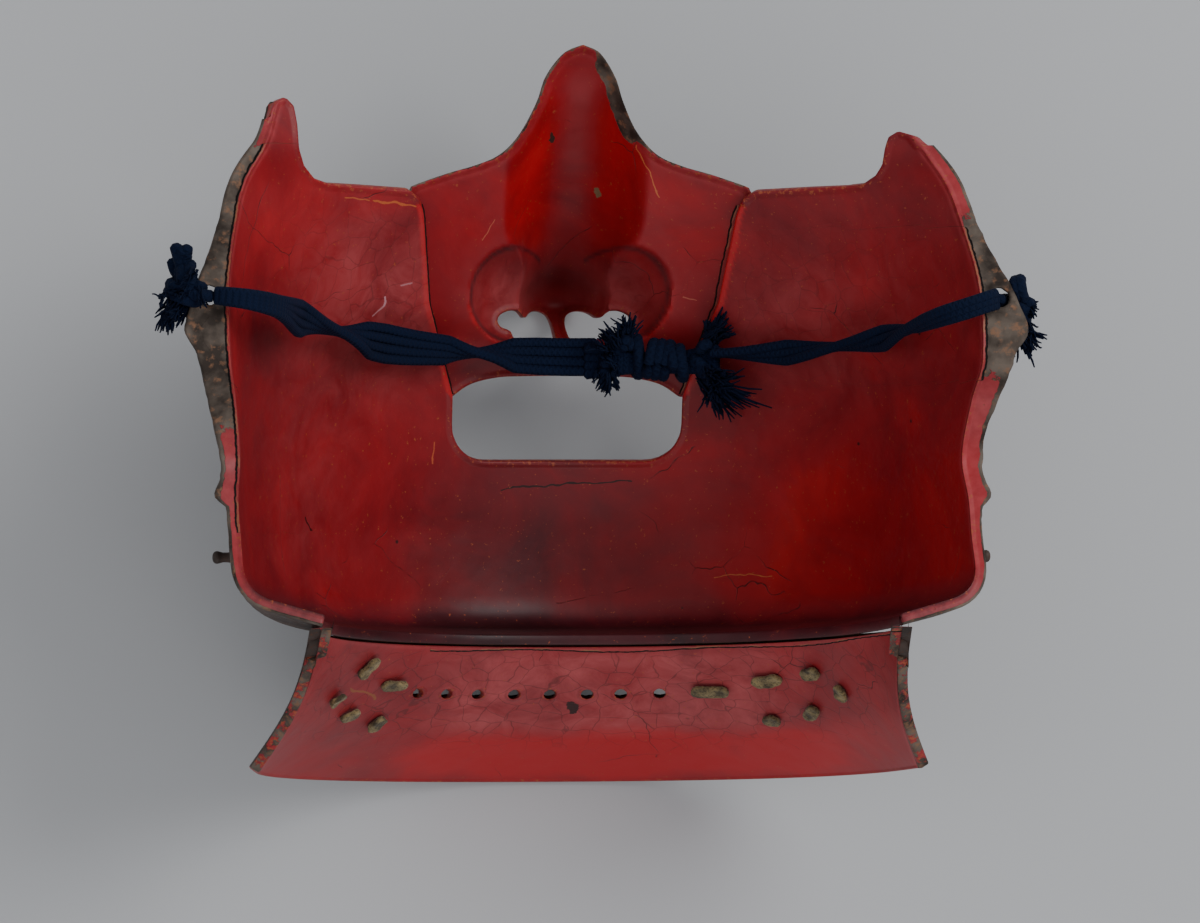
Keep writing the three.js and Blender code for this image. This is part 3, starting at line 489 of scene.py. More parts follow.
def snap_to(points, x, y, keep_inside):
    """Moves the grid's nearest places onto an outline and says how far inside the kept part each lies."""
    away, near_x, near_y = from_outline(points, x, y)
    away = away if keep_inside else -away
    moved = np.zeros(x.shape, bool)
    for axis in (0, 1):
        for shift in (1, -1):
            other = np.roll(away, shift, axis)
            edge = np.zeros(x.shape, bool)
            at = [slice(None), slice(None)]
            at[axis] = 0 if shift == 1 else -1
            edge[tuple(at)] = True
            moved |= (away * other < 0) & (np.abs(away) <= np.abs(other)) & ~edge
    return np.where(moved, near_x, x), np.where(moved, near_y, y), np.where(moved, 0.0, away)


def sheet(name, inner, outer, kept, fields, materials, rounding=0.45):
    """A sheet with two sides and a rounded edge, from grids of points in mm for its two sides. kept says
    how far each place lies inside the part that stays, and fields go with the mesh as attributes."""
    rows, columns = kept.shape
    index = np.arange(rows * columns).reshape(rows, columns)
    quads = np.stack([index[:-1, :-1], index[1:, :-1], index[1:, 1:], index[:-1, 1:]], axis=-1).reshape(-1, 4)
    sign = np.sign(kept).ravel()[quads]
    whole = (sign.min(axis=1) >= 0) & (sign.max(axis=1) > 0)
    faces = [tuple(q) for q in quads[whole]]
    mixed = (sign.min(axis=1) < 0) & (sign.max(axis=1) > 0)
    for quad, signs in zip(quads[mixed], sign[mixed]):
        for k in range(4):
            corner = (k - 1) % 4, k, (k + 1) % 4
            if signs[k] > 0 and signs[corner[0]] >= 0 and signs[corner[2]] >= 0:
                faces.append(tuple(quad[c] for c in corner))
    used = np.unique(np.concatenate([np.array(f) for f in faces]))
    number = np.full(rows * columns, -1)
    number[used] = np.arange(len(used))
    faces = [tuple(int(number[i]) for i in f) for f in faces]
    count = len(used)
    sides = {}
    for face in faces:
        for a, b in zip(face, face[1:] + face[:1]):
            sides[(a, b)] = True
    rim = [(a, b) for a, b in sides if (b, a) not in sides]
    back = [tuple(i + count for i in reversed(face)) for face in faces]
    edge = [(b, a, a + count, b + count) for a, b in rim]
    places = np.vstack([inner.reshape(-1, 3)[used], outer.reshape(-1, 3)[used]]) * MM
    mesh = bpy.data.meshes.new(name)
    mesh.from_pydata(places.tolist(), [], faces + back + edge)
    for material in materials:
        mesh.materials.append(material)
    slots = [0] * len(faces) + [1] * len(back) + [2] * len(edge)
    mesh.polygons.foreach_set("material_index", slots)
    for field, values in fields.items():
        layer = mesh.attributes.new(field, "FLOAT", "POINT")
        both = np.tile(values.ravel()[used], 2).astype(np.float32)
        layer.data.foreach_set("value", both)
    rims = {tuple(sorted(e)) for e in rim} | {tuple(sorted((a + count, b + count))) for a, b in rim}
    weight = mesh.attributes.new("bevel_weight_edge", "FLOAT", "EDGE")
    weight.data.foreach_set("value", [1.0 if tuple(sorted(e.vertices)) in rims else 0.0 for e in mesh.edges])
    obj = bpy.data.objects.new(name, mesh)
    bpy.context.scene.collection.objects.link(obj)
    bpy.ops.object.select_all(action="DESELECT")
    bpy.context.view_layer.objects.active = obj
    obj.select_set(True)
    bevel = obj.modifiers.new("rounded edge", "BEVEL")
    bevel.limit_method = "WEIGHT"
    bevel.width = rounding * MM
    bevel.segments = 2
    bevel.use_clamp_overlap = False
    bpy.ops.object.modifier_apply(modifier=bevel.name)
    bpy.ops.object.shade_smooth_by_angle(angle=math.radians(50))
    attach(obj, "root")
    return obj


def spot(x, y, middle_x, middle_y, half_x, half_y):
    """A soft round patch, 1 at its middle."""
    return np.exp(-((x - middle_x) / half_x) ** 2 - ((y - middle_y) / half_y) ** 2)


def between(v, low, high, soft):
    """1 where v lies between low and high, with soft ends."""
    return np.clip((v - low) / soft + 0.5, 0, 1) * np.clip((high - v) / soft + 0.5, 0, 1)


def cut_outline(horn_height):
    """The right half of the cut that opens the shell for the mouth, the nose and the eyes."""
    angles = np.linspace(-math.pi / 2, 0, 9)
    points = [(0, -MOUTH_BOTTOM)]
    points += [(MOUTH_HALF_WIDTH - MOUTH_RADIUS + MOUTH_RADIUS * math.cos(a),
                -MOUTH_BOTTOM + MOUTH_RADIUS + MOUTH_RADIUS * math.sin(a)) for a in angles]
    points += [(MOUTH_HALF_WIDTH, MOUTH_CORNER), (SEAM_MIDDLE, WING_HEIGHT - 2),
               (SEAM_TOP - 0.3, CHEEK_RIM - 5), (SEAM_TOP + 0.7, CHEEK_RIM - 1.6)]
    points += [(x * FACE_HALF_WIDTH, h * CHEEK_RIM) for x, h in CHEEK_RIM_POINTS]
    points += [(x * FACE_HALF_WIDTH, CHEEK_RIM + h * horn_height) for x, h in HORN_POINTS]
    points += [(2 * FACE_HALF_WIDTH, CHEEK_RIM + horn_height * HORN_POINTS[-1][1] - 1),
               (2 * FACE_HALF_WIDTH, 2 * HALF_HEIGHT)]
    return points


def shell_grid():
    """The shell's inside from the horns down over the cheeks and chin, round the fold and up the shelf."""
    face_rows = 112
    fold_rows = 8
    shelf_rows = 13
    corner_columns = 5
    around = np.linspace(-1, 1, 2 * ACROSS_HALF + 1)
    fold = -JAW_DROP + JAW_RISE * around ** 2
    top = CHEEK_RIM + HORN_LEFT + WALL
    y = top + (fold + CHIN_RADIUS - top) * np.linspace(0, 1, face_rows)[:, None]
    y = np.vstack([y, fold[None, :]])
    share = np.sin(np.linspace(0, 1, 61) * math.pi / 2)
    line_z = section_height(y[..., None], share)
    line_x = bend_half_width(y)[..., None] * share
    step = np.hypot(np.diff(line_x, axis=-1), np.diff(line_z, axis=-1))
    run = np.concatenate([np.zeros(y.shape + (1,)), np.cumsum(step, axis=-1)], axis=-1)
    # Columns lie at even shares of the way along each section, from the middle out to the bend.
    wanted = np.abs(around) * run[..., -1]
    i = np.clip((run < wanted[..., None]).sum(axis=-1) - 1, 0, 59)[..., None]
    low, high = np.take_along_axis(run, i, -1)[..., 0], np.take_along_axis(run, i + 1, -1)[..., 0]
    u = (wanted - low) / (high - low)
    x_before = np.take_along_axis(line_x, i, -1)[..., 0]
    x_after = np.take_along_axis(line_x, i + 1, -1)[..., 0]
    x = (1 - u) * x_before + u * x_after
    x = x * np.sign(around)
    face = np.stack([x, y, section_height(y, np.minimum(np.abs(x) / bend_half_width(y), 1))], axis=-1)
    # The last row is the corner of the fold, which turns into the shelf with its inside radius.
    corner = face[-1]
    face = face[:-1]
    angle = np.abs(around) * math.pi / 2
    flat = 2 / 2.2
    crest = np.stack([
        np.sign(around) * CREST_HALF_WIDTH * np.sin(angle) ** flat,
        -CREST_DROP + CREST_RISE * around ** 2,
        FACE_DEPTH - (FACE_DEPTH - CREST_HEIGHT) * np.cos(angle) ** flat,
    ], axis=-1)
    end = corner + unit(crest - corner) * CHIN_RADIUS
    t = np.linspace(0, 1, fold_rows + 1)[1:, None, None]
    bend = (1 - t) ** 2 * face[-1] + 2 * t * (1 - t) * corner + t ** 2 * end
    t = np.linspace(0, 1, shelf_rows + 1)[1:, None, None]
    shelf = end + (crest - end) * t
    inside = np.concatenate([face, bend, shelf])
    length = np.vstack([run[:-1, :, -1], np.repeat(run[-1:, :, -1], fold_rows + shelf_rows, axis=0)])
    past_bend = -(1 - np.abs(around)) * length
    down = np.concatenate([
        np.tile(-np.linspace(face_rows, 1, face_rows)[:, None], (1, len(around))),
        np.tile(np.linspace(1, fold_rows, fold_rows)[:, None], (1, len(around))) * 0.9,
        np.linspace(0, 1, shelf_rows)[:, None] * np.linalg.norm(crest - end, axis=-1) + 8,
    ])
    normals = grid_normals(inside)
    outside = inside + normals * WALL
    # Each rear edge turns out as a flange, and its outer side is mitred at the bend.
    on_face = (np.arange(len(inside)) < face_rows)
    columns_in, columns_out, columns_past, columns_down = [], [], [], []
    for side in (0, -1):
        out = normals[:, side].copy()
        out[:, 2] = 0
        out = unit(out)
        at = inside[:, side]
        mitre = at + out * WALL + np.array([0, 0, -WALL])
        rng = np.random.default_rng(21 + side)
        ragged = np.convolve(rng.normal(0, 1, len(at) + 8), np.ones(9) / 9, mode="valid")
        table = FLANGE_REACH * curve_through(FLANGE, "reach", at[:, 1] / HALF_HEIGHT)
        reach = np.where(on_face, table + 0.55 * ragged * between(at[:, 1], -26, 46, 8), WALL * 1.04)
        reach = np.maximum(reach, WALL * 1.04)
        gap = -past_bend[:, side][:, None]
        inner_columns, outer_columns, past = [], [], []
        for k in range(1, FLANGE_COLUMNS + 1):
            along = reach * k / FLANGE_COLUMNS
            rise = (out * np.cos(FLANGE_LIFT) + np.array([0, 0, 1]) * np.sin(FLANGE_LIFT)) * along[:, None]
            inner_columns.append(at + rise)
            near = np.minimum(along / WALL, 1)[:, None]
            drop = at + rise + np.array([0, 0, -WALL])
            outer_columns.append(mitre * (1 - near) + drop * near + out * 0.02 * k)
            past.append(along)
        order = slice(None, None, -1) if side == 0 else slice(None)
        columns_in.append(np.stack(inner_columns[order], axis=1))
        columns_out.append(np.stack(outer_columns[order], axis=1))
        columns_past.append(np.stack(past[order], axis=1))
        columns_down.append(np.repeat(down[:, side][:, None], FLANGE_COLUMNS, axis=1))
        for k in range(corner_columns):
            c = k if side == 0 else -1 - k
            depth = -past_bend[:, c]
            share = np.clip(depth / WALL, 0, 1)[:, None]
            outside[:, c] = mitre * (1 - share) + outside[:, c] * share
    inside = np.concatenate([columns_in[0], inside, columns_in[1]], axis=1)
    outside = np.concatenate([columns_out[0], outside, columns_out[1]], axis=1)
    past = np.concatenate([columns_past[0], past_bend, columns_past[1]], axis=1)
    down = np.concatenate([columns_down[0], down, columns_down[1]], axis=1)
    outermost = np.zeros(past.shape)
    for k in range(FLANGE_COLUMNS):
        outermost[:, k] = outermost[:, -1 - k] = 1 - k / FLANGE_COLUMNS
    return inside, outside, past, down, outermost, face_rows


WANDER = 3.5  # how far cracks and scratches wander in mm


def vermilion(name, scratches=(), worn=0.0):
    """Vermilion urushi over iron, brushed on thick and polished: deep and glossy, hazed and crazed with
    age, chipped to orange specks at its edges and gone where the russet iron shows. The mesh says where:
    tone_light_and_shade is how bright the red is, painted light and shade included; haze_and_sheen how
    dull it is, painted sheen of the lamps included; bare how much iron shows, pink how much ground coat;
    rim is the distance in mm from an edge, crack_and_seam_shadow the distance from the open crack and
    from the painted shadow lines along joints; craze is the net of cracks."""
    material, tree = new_material(name)
    where = add(tree, "ShaderNodeTexCoord", out="Object")
    fields = {key: add(tree, "ShaderNodeAttribute", out="Fac", attribute_name=key)
              for key in ("tone_light_and_shade", "haze_and_sheen", "bare", "pink", "rim", "crack_and_seam_shadow", "craze")}
    clouds = add(tree, "ShaderNodeTexNoise", {
        "Vector": where, "Scale": 1 / (26 * MM), "Detail": 6.0, "Roughness": 0.62, "Distortion": 0.6})
    grain = add(tree, "ShaderNodeTexNoise", {
        "Vector": where, "Scale": 1 / (2.2 * MM), "Detail": 5.0, "Roughness": 0.6})
    specks = add(tree, "ShaderNodeTexNoise", {
        "Vector": where, "Scale": 1 / (0.9 * MM), "Detail": 3.0, "Roughness": 0.7})
    # Uneven coats: deep crimson where they are thick or smoked, brighter where they were rubbed. The
    # brightness the mesh gives also holds painted light and shade: painted highlights on lit edges, slopes
    # and rims, and painted shade in hollows, on the shelf and inside the nose's wings.
    tone_light_and_shade = add(tree, "ShaderNodeMath", {0: clouds, 1: 0.95, 2: fields["tone_light_and_shade"]}, operation="MULTIPLY_ADD")
    tone_light_and_shade = add(tree, "ShaderNodeMath", {0: tone_light_and_shade, 1: 0.475}, operation="SUBTRACT")
    colour = add(tree, "ShaderNodeValToRGB", {0: tone_light_and_shade})
    stops = colour.node.color_ramp.elements
    stops[0].position, stops[0].color = 0.0, shade("#22060C")
    stops[1].position, stops[1].color = 1.0, shade("#A80A14")
    for place, red in ((0.28, "#420612"), (0.52, "#6C0612"), (0.78, "#8C0612")):
        stop = stops.new(place)
        stop.color = shade(red)
    # A dry greyish pink veil where the polish has gone, which is also painted sheen: the broad soft
    # reflections of the lamps in the lacquer, laid on as pink colour where the mesh asks for it.
    veil_and_sheen = add(tree, "ShaderNodeTexNoise", {
        "Vector": where, "Scale": 1 / (11 * MM), "Detail": 7.0, "Roughness": 0.7, "Distortion": 1.2})
    veil_and_sheen = add(tree, "ShaderNodeMapRange", {0: veil_and_sheen, 1: 0.35, 2: 0.68, 3: 0.25, 4: 1.0})
    veil_and_sheen = add(tree, "ShaderNodeMath", {0: veil_and_sheen, 1: fields["haze_and_sheen"]}, operation="MULTIPLY")
    colour = add(tree, "ShaderNodeMix", {0: veil_and_sheen, 6: colour, 7: shade("#A8484A")}, out=2, data_type="RGBA")
    # Hairline cracks: a few long ones, and a net of short ones where the field asks for it.
    warp = add(tree, "ShaderNodeTexNoise", {"Vector": where, "Scale": 1 / (7 * MM), "Detail": 2.0},
               out="Color")
    warp = add(tree, "ShaderNodeVectorMath", {0: warp, "Scale": WANDER * MM}, operation="SCALE")
    bent = add(tree, "ShaderNodeVectorMath", {0: where, 1: warp}, operation="ADD")
    long_ones = add(tree, "ShaderNodeMapRange", {0: clouds, 1: 0.54, 2: 0.60, 3: 0.0, 4: 0.8})
    lines = []
    for size, width, amount in ((30, 0.10, long_ones), (5.5, 0.13, fields["craze"])):
        cells = add(tree, "ShaderNodeTexVoronoi", {"Vector": bent, "Scale": 1 / (size * MM)},
                    feature="DISTANCE_TO_EDGE")
        line = add(tree, "ShaderNodeMapRange", {
            0: cells, 1: 0.3 * width / size, 2: width / size, 3: 1.0, 4: 0.0})
        lines.append(add(tree, "ShaderNodeMath", {0: line, 1: amount}, operation="MULTIPLY"))
    line = add(tree, "ShaderNodeMath", {0: lines[0], 1: lines[1]}, operation="MAXIMUM")
    colour = add(tree, "ShaderNodeMix", {0: line, 6: colour, 7: shade("#26080A")}, out=2, data_type="RGBA")
    pits = add(tree, "ShaderNodeTexVoronoi", {"Vector": where, "Scale": 1 / (15 * MM)}, out="Distance")
    pits = add(tree, "ShaderNodeMapRange", {0: pits, 1: 0.020, 2: 0.034, 3: 0.85, 4: 0.0})
    colour = add(tree, "ShaderNodeMix", {0: pits, 6: colour, 7: shade("#180808")}, out=2, data_type="RGBA")
    # Scratches and chips, each from a start to an end in plan with its width in mm.
    for start, end, width, hue in scratches:
        a = np.array(start + (0,)) * MM
        b = np.array(end + (0,)) * MM
        flat = add(tree, "ShaderNodeVectorMath", {0: bent, 1: (1, 1, 0)}, operation="MULTIPLY")
        drift = np.array((WANDER / 2, WANDER / 2, 0)) * MM
        from_a = add(tree, "ShaderNodeVectorMath", {0: flat, 1: a + drift}, operation="SUBTRACT")
        share = add(tree, "ShaderNodeVectorMath", {0: from_a, 1: (b - a) / ((b - a) @ (b - a))}, out="Value",
                    operation="DOT_PRODUCT")
        share = add(tree, "ShaderNodeClamp", {0: share})
        along = add(tree, "ShaderNodeVectorMath", {0: b - a, "Scale": share}, operation="SCALE")
        aside = add(tree, "ShaderNodeVectorMath", {0: from_a, 1: along}, operation="SUBTRACT")
        aside = add(tree, "ShaderNodeVectorMath", {0: aside}, out="Value", operation="LENGTH")
        edge = add(tree, "ShaderNodeMath", {0: specks, 1: width * MM}, operation="MULTIPLY")
        mark = add(tree, "ShaderNodeMath", {0: aside, 1: edge}, operation="LESS_THAN")
        colour = add(tree, "ShaderNodeMix", {0: mark, 6: colour, 7: shade(hue)}, out=2, data_type="RGBA")
    # The pink ground coat at turned edges, then orange flakes along the rims.
    blush = add(tree, "ShaderNodeMapRange", {0: grain, 1: 0.3, 2: 0.7, 3: 0.35, 4: 1.0})
    blush = add(tree, "ShaderNodeMath", {0: blush, 1: fields["pink"]}, operation="MULTIPLY")
    colour = add(tree, "ShaderNodeMix", {0: blush, 6: colour, 7: shade("#B8484C")}, out=2, data_type="RGBA")
    close = add(tree, "ShaderNodeMapRange", {0: fields["rim"], 1: 0.0, 2: 1.9, 3: 0.12 + worn, 4: 0.0})
    flake = add(tree, "ShaderNodeMath", {0: specks, 1: close}, operation="ADD")
    flake = add(tree, "ShaderNodeMapRange", {0: flake, 1: 0.66, 2: 0.70, 3: 0.0, 4: 0.9})
    colour = add(tree, "ShaderNodeMix", {0: flake, 6: colour, 7: shade("#9C4A2A")}, out=2, data_type="RGBA")
    # The open crack, black, with a chipped tan lip on its red side. The same black line is also painted
    # shadow along joints: on the nose piece beside the cheeks' edges, and on the throat flange just below its
    # top edge under the shelf.
    crack_and_shadow_line = add(tree, "ShaderNodeMath", {0: grain, 1: 1.6, 2: fields["crack_and_seam_shadow"]}, operation="MULTIPLY_ADD")
    crack_and_shadow_line = add(tree, "ShaderNodeMath", {0: crack_and_shadow_line, 1: 0.8}, operation="SUBTRACT")
    chipped = add(tree, "ShaderNodeMath", {0: specks, 1: 0.6, 2: crack_and_shadow_line}, operation="MULTIPLY_ADD")
    chipped = add(tree, "ShaderNodeMath", {0: chipped, 1: 0.4}, operation="ADD")
    chipped = add(tree, "ShaderNodeMath", {0: chipped}, operation="ABSOLUTE")
    chipped = add(tree, "ShaderNodeMapRange", {0: chipped, 1: 0.26, 2: 0.36, 3: 0.85, 4: 0.0})
    crack_and_shadow_line = add(tree, "ShaderNodeMath", {0: crack_and_shadow_line}, operation="ABSOLUTE")
    crack_and_shadow_line = add(tree, "ShaderNodeMapRange", {0: crack_and_shadow_line, 1: 0.28, 2: 0.42, 3: 1.0, 4: 0.0})
    # Bare russet iron where the lacquer has gone.
    bare = add(tree, "ShaderNodeMath", {0: grain, 1: 0.9, 2: fields["bare"]}, operation="MULTIPLY_ADD")
    bare = add(tree, "ShaderNodeMapRange", {0: bare, 1: 0.92, 2: 0.97, 3: 0.0, 4: 1.0})
    patches = add(tree, "ShaderNodeTexNoise", {"Vector": where, "Scale": 1 / (6 * MM), "Detail": 6.0})
    here = add(tree, "ShaderNodeMapRange", {0: patches, 1: 0.47, 2: 0.56, 3: 0.1, 4: 1.0})
    chipped = add(tree, "ShaderNodeMath", {0: chipped, 1: here}, operation="MULTIPLY")
    iron = add(tree, "ShaderNodeMix", {
        0: add(tree, "ShaderNodeMapRange", {0: patches, 1: 0.36, 2: 0.64}),
        6: shade("#322923"), 7: shade("#6C6056"),
    }, out=2, data_type="RGBA")
    rust = add(tree, "ShaderNodeMapRange", {0: grain, 1: 0.54, 2: 0.66, 3: 0.0, 4: 0.7})
    iron = add(tree, "ShaderNodeMix", {0: rust, 6: iron, 7: shade("#8A6248")}, out=2, data_type="RGBA")
    colour = add(tree, "ShaderNodeMix", {0: bare, 6: colour, 7: iron}, out=2, data_type="RGBA")
    colour = add(tree, "ShaderNodeMix", {0: chipped, 6: colour, 7: shade("#8E5A3E")}, out=2, data_type="RGBA")
    colour = add(tree, "ShaderNodeMix", {0: crack_and_shadow_line, 6: colour, 7: shade("#0A0605")}, out=2, data_type="RGBA")
    gloss = add(tree, "ShaderNodeMapRange", {0: clouds, 1: 0.3, 2: 0.7, 3: 0.40, 4: 0.54})
    gloss = add(tree, "ShaderNodeMath", {0: veil_and_sheen, 1: 0.22, 2: gloss}, operation="MULTIPLY_ADD")
    rough = add(tree, "ShaderNodeMix", {0: bare, 2: gloss, 3: 0.72}, data_type="FLOAT")
    rough = add(tree, "ShaderNodeMix", {0: crack_and_shadow_line, 2: rough, 3: 0.95}, data_type="FLOAT")
    metal = add(tree, "ShaderNodeMath", {0: bare, 1: 0.35}, operation="MULTIPLY")
    # Relief: faint hammering under the coats, sunk cracks, rolled rims and pitted iron.
    dents = add(tree, "ShaderNodeTexNoise", {"Vector": where, "Scale": 1 / (14 * MM), "Detail": 2.0})
    height = add(tree, "ShaderNodeMath", {0: dents, 1: 0.9}, operation="MULTIPLY")
    height = add(tree, "ShaderNodeMath", {0: grain, 1: 0.05, 2: height}, operation="MULTIPLY_ADD")
    height = add(tree, "ShaderNodeMath", {0: line, 1: -0.12, 2: height}, operation="MULTIPLY_ADD")
    height = add(tree, "ShaderNodeMath", {0: crack_and_shadow_line, 1: -0.8, 2: height}, operation="MULTIPLY_ADD")
    rolled = add(tree, "ShaderNodeMapRange", {0: fields["rim"], 1: 0.2, 2: 1.7, 3: 0.75, 4: 0.0},
                 interpolation_type="SMOOTHSTEP")
    height = add(tree, "ShaderNodeMath", {0: height, 1: rolled}, operation="ADD")
    pitted = add(tree, "ShaderNodeMath", {0: patches, 1: 0.9, 2: -0.9}, operation="MULTIPLY_ADD")
    pitted = add(tree, "ShaderNodeMath", {0: pitted, 1: bare}, operation="MULTIPLY")
    height = add(tree, "ShaderNodeMath", {0: height, 1: pitted}, operation="ADD")
    bump = add(tree, "ShaderNodeBump", {"Height": height, "Distance": 0.8 * MM, "Strength": 0.7})
    skin = add(tree, "ShaderNodeBsdfPrincipled", {
        "Base Color": colour, "Roughness": rough, "Metallic": metal, "Normal": bump, "IOR": 1.4,
    })
    add(tree, "ShaderNodeOutputMaterial", {0: skin})
    return material


def russet_iron():
    """Wrought iron with a brown rust patina under thin dark lacquer: hammered, dull and pitted."""
    material, tree = new_material("russet patinated iron")
    where = add(tree, "ShaderNodeTexCoord", out="Object")
    hammer = add(tree, "ShaderNodeTexVoronoi", {"Vector": where, "Scale": 1 / (6 * MM)}, out="Distance",
                 feature="SMOOTH_F1")
    grain = add(tree, "ShaderNodeTexNoise", {"Vector": where, "Scale": 1 / (1.4 * MM), "Detail": 6.0,
                                             "Roughness": 0.65})
    clouds = add(tree, "ShaderNodeTexNoise", {"Vector": where, "Scale": 1 / (17 * MM), "Detail": 5.0})
    colour = add(tree, "ShaderNodeMix", {
        0: add(tree, "ShaderNodeMapRange", {0: clouds, 1: 0.35, 2: 0.68}),
        6: shade("#251C18"), 7: shade("#56433A"),
    }, out=2, data_type="RGBA")
    rust = add(tree, "ShaderNodeMapRange", {0: grain, 1: 0.56, 2: 0.68, 3: 0.0, 4: 0.55})
    colour = add(tree, "ShaderNodeMix", {0: rust, 6: colour, 7: shade("#6E3E26")}, out=2, data_type="RGBA")
    height = add(tree, "ShaderNodeMath", {0: grain, 1: 0.35, 2: hammer}, operation="MULTIPLY_ADD")
    bump = add(tree, "ShaderNodeBump", {"Height": height, "Distance": 0.5 * MM, "Strength": 0.6})
    rough = add(tree, "ShaderNodeMapRange", {0: grain, 1: 0.3, 2: 0.7, 3: 0.45, 4: 0.8})
    skin = add(tree, "ShaderNodeBsdfPrincipled", {
        "Base Color": colour, "Roughness": rough, "Metallic": 0.3, "Normal": bump,
    })
    add(tree, "ShaderNodeOutputMaterial", {0: skin})
    return material


IRON = russet_iron()
shell_in, shell_out, past_bend, down_shelf, outermost, shell_face_rows = shell_grid()
X, Y = shell_in[..., 0], shell_in[..., 1]
outline = cut_outline(HORN_RIGHT) + [(-x, y) for x, y in reversed(cut_outline(HORN_LEFT))]
hole_out = bend_half_width(np.array(CORD_HOLE_HEIGHT)) + CORD_HOLE_INSET
moved_x, moved_y, away = snap_to(outline, X, Y, False)
for side in (-1, 1):
    circle = [(side * hole_out + CORD_HOLE_RADIUS * math.cos(a),
               CORD_HOLE_HEIGHT + CORD_HOLE_RADIUS * math.sin(a))
              for a in np.linspace(0, 2 * math.pi, 28, endpoint=False)]
    near = (np.abs(X - side * hole_out) < 4) & (np.abs(Y - CORD_HOLE_HEIGHT) < 4)
    hole_x, hole_y, hole_away = snap_to(circle, X, Y, False)
    moved_x = np.where(near & (hole_away == 0), hole_x, moved_x)
    moved_y = np.where(near & (hole_away == 0), hole_y, moved_y)
    away = np.where(near, np.minimum(away, hole_away), away)
shift = np.stack([moved_x - X, moved_y - Y, np.zeros_like(X)], axis=-1)
on_cheek = (past_bend < 0) & (np.arange(len(X))[:, None] < shell_face_rows)
shift[..., 2] = np.where(on_cheek, face_height(moved_x, moved_y) - face_height(X, Y), 0)
shell_in = shell_in + shift
shell_out = shell_out + shift
X, Y = shell_in[..., 0], shell_in[..., 1]
on_flange = np.clip(past_bend / 0.6, 0, 1)
on_shelf = np.clip(down_shelf / 6, 0, 1)
bare_flange = on_flange * np.where(X < 0, between(Y, -2, 58, 5), between(Y, 9, 43, 5)) * (on_shelf == 0)
low_edge = on_flange * (on_shelf > 0)
flange_edge = np.where(past_bend > -3, np.abs(past_bend), 9)
uncracked = (on_shelf > 0) | ((X > 0) & ((Y > 41) | (Y < 8))) | (Y > 58.5) | (Y < -24)
# Painted light and shade on the shell: the red is brighter along the cheeks' edges at the seam, a painted
# highlight where their cut edges catch the light; darker at the bottom of the chin, partly darker lacquer and
# partly painted shade deep in the bowl; and much darker over the shelf, painted shade inside the chin's fold.
# The pink veil on the middle of each cheek and over the chin is partly dulled lacquer and partly painted
# sheen of the lamps.
by_seam = (np.abs(X) < SEAM_TOP + 3) & (Y < CHEEK_RIM - 3) & (Y > MOUTH_CORNER) & (on_flange == 0)
shell_fields = {
    "tone_light_and_shade": 0.62 + 0.6 * by_seam * between(away, -9, 1.2, 0.8)
    + 0.30 * spot(X, Y, 50, -26, 34, 26) + 0.10 * spot(X, Y, -50, -20, 22, 26)
    + 0.10 * spot(X, Y, 62, 36, 16, 16) + 0.12 * spot(X, Y, -60, 40, 14, 22)
    - 0.26 * spot(X, Y, 0, -28, 40, 14) - 0.55 * on_shelf,
    "haze_and_sheen": 0.80 * spot(X, Y, -44, 26, 18, 18) + 0.42 * spot(X, Y, 52, 22, 20, 16)
    + 0.06 * spot(X, Y, 0, -26, 34, 12) + 0.22 * spot(X, Y, -60, -14, 12, 30) + 0.03,
    "bare": 0.75 * bare_flange + 0.34 * low_edge
    + on_flange * (1 - bare_flange) * (0.28 * (on_shelf == 0) + 0.4 * (outermost > 0.8)),
    "pink": 0.55 * on_flange * (1 - bare_flange) + 0.5 * between(past_bend, -1.6, 0.4, 1.0) * (on_shelf == 0),
    "rim": np.minimum(np.maximum(away, 0) * (1 - 0.7 * by_seam) + 1.2 * by_seam, flange_edge * 1.3 + 0.3),
    "crack_and_seam_shadow": np.where(uncracked, 9, 1.6 * (past_bend - 0.5) - 0.3),
    "craze": 0.30 * spot(X, Y, -46, 30, 24, 20) + 0.22 * spot(X, Y, 52, 26, 24, 18),
}
SHELL_SCRATCHES = [
    ((-44.8, 22.6), (-42.4, 24.0), 0.4, "#A86E72"), ((-42.2, 24.2), (-42.0, 26.2), 0.4, "#B07A80"),
    ((-38.6, 29.0), (-36.0, 29.8), 0.45, "#A8686C"), ((-52.0, 47.3), (-46.4, 47.0), 0.3, "#A44E2A"),
    ((-45.6, 46.9), (-36.4, 46.2), 0.5, "#AC522A"),
    ((80.6, -22.6), (80.2, -25.0), 1.0, "#C89894"), ((81.8, -22.8), (81.8, -25.0), 0.9, "#C89894"),
    ((32.8, -34.6), (44.4, -34.0), 0.2, "#B05A30"), ((-28.8, -4.4), (-29.6, -9.0), 0.3, "#A84A2C"),
    ((-59.4, -20.6), (-58.8, -24.0), 0.3, "#3C0608"), ((-14.0, -15.0), (15.0, -13.0), 0.32, "#2A0A0A"),
]
RED_SHELL = vermilion("vermilion urushi on the shell", SHELL_SCRATCHES)
RED_EDGE = vermilion("vermilion urushi worn at an edge", worn=0.02)
face_shell = sheet("face_shell_lacquered", shell_in, shell_out, away, shell_fields,
                   [RED_SHELL, IRON, RED_EDGE])
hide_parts("face_shell")


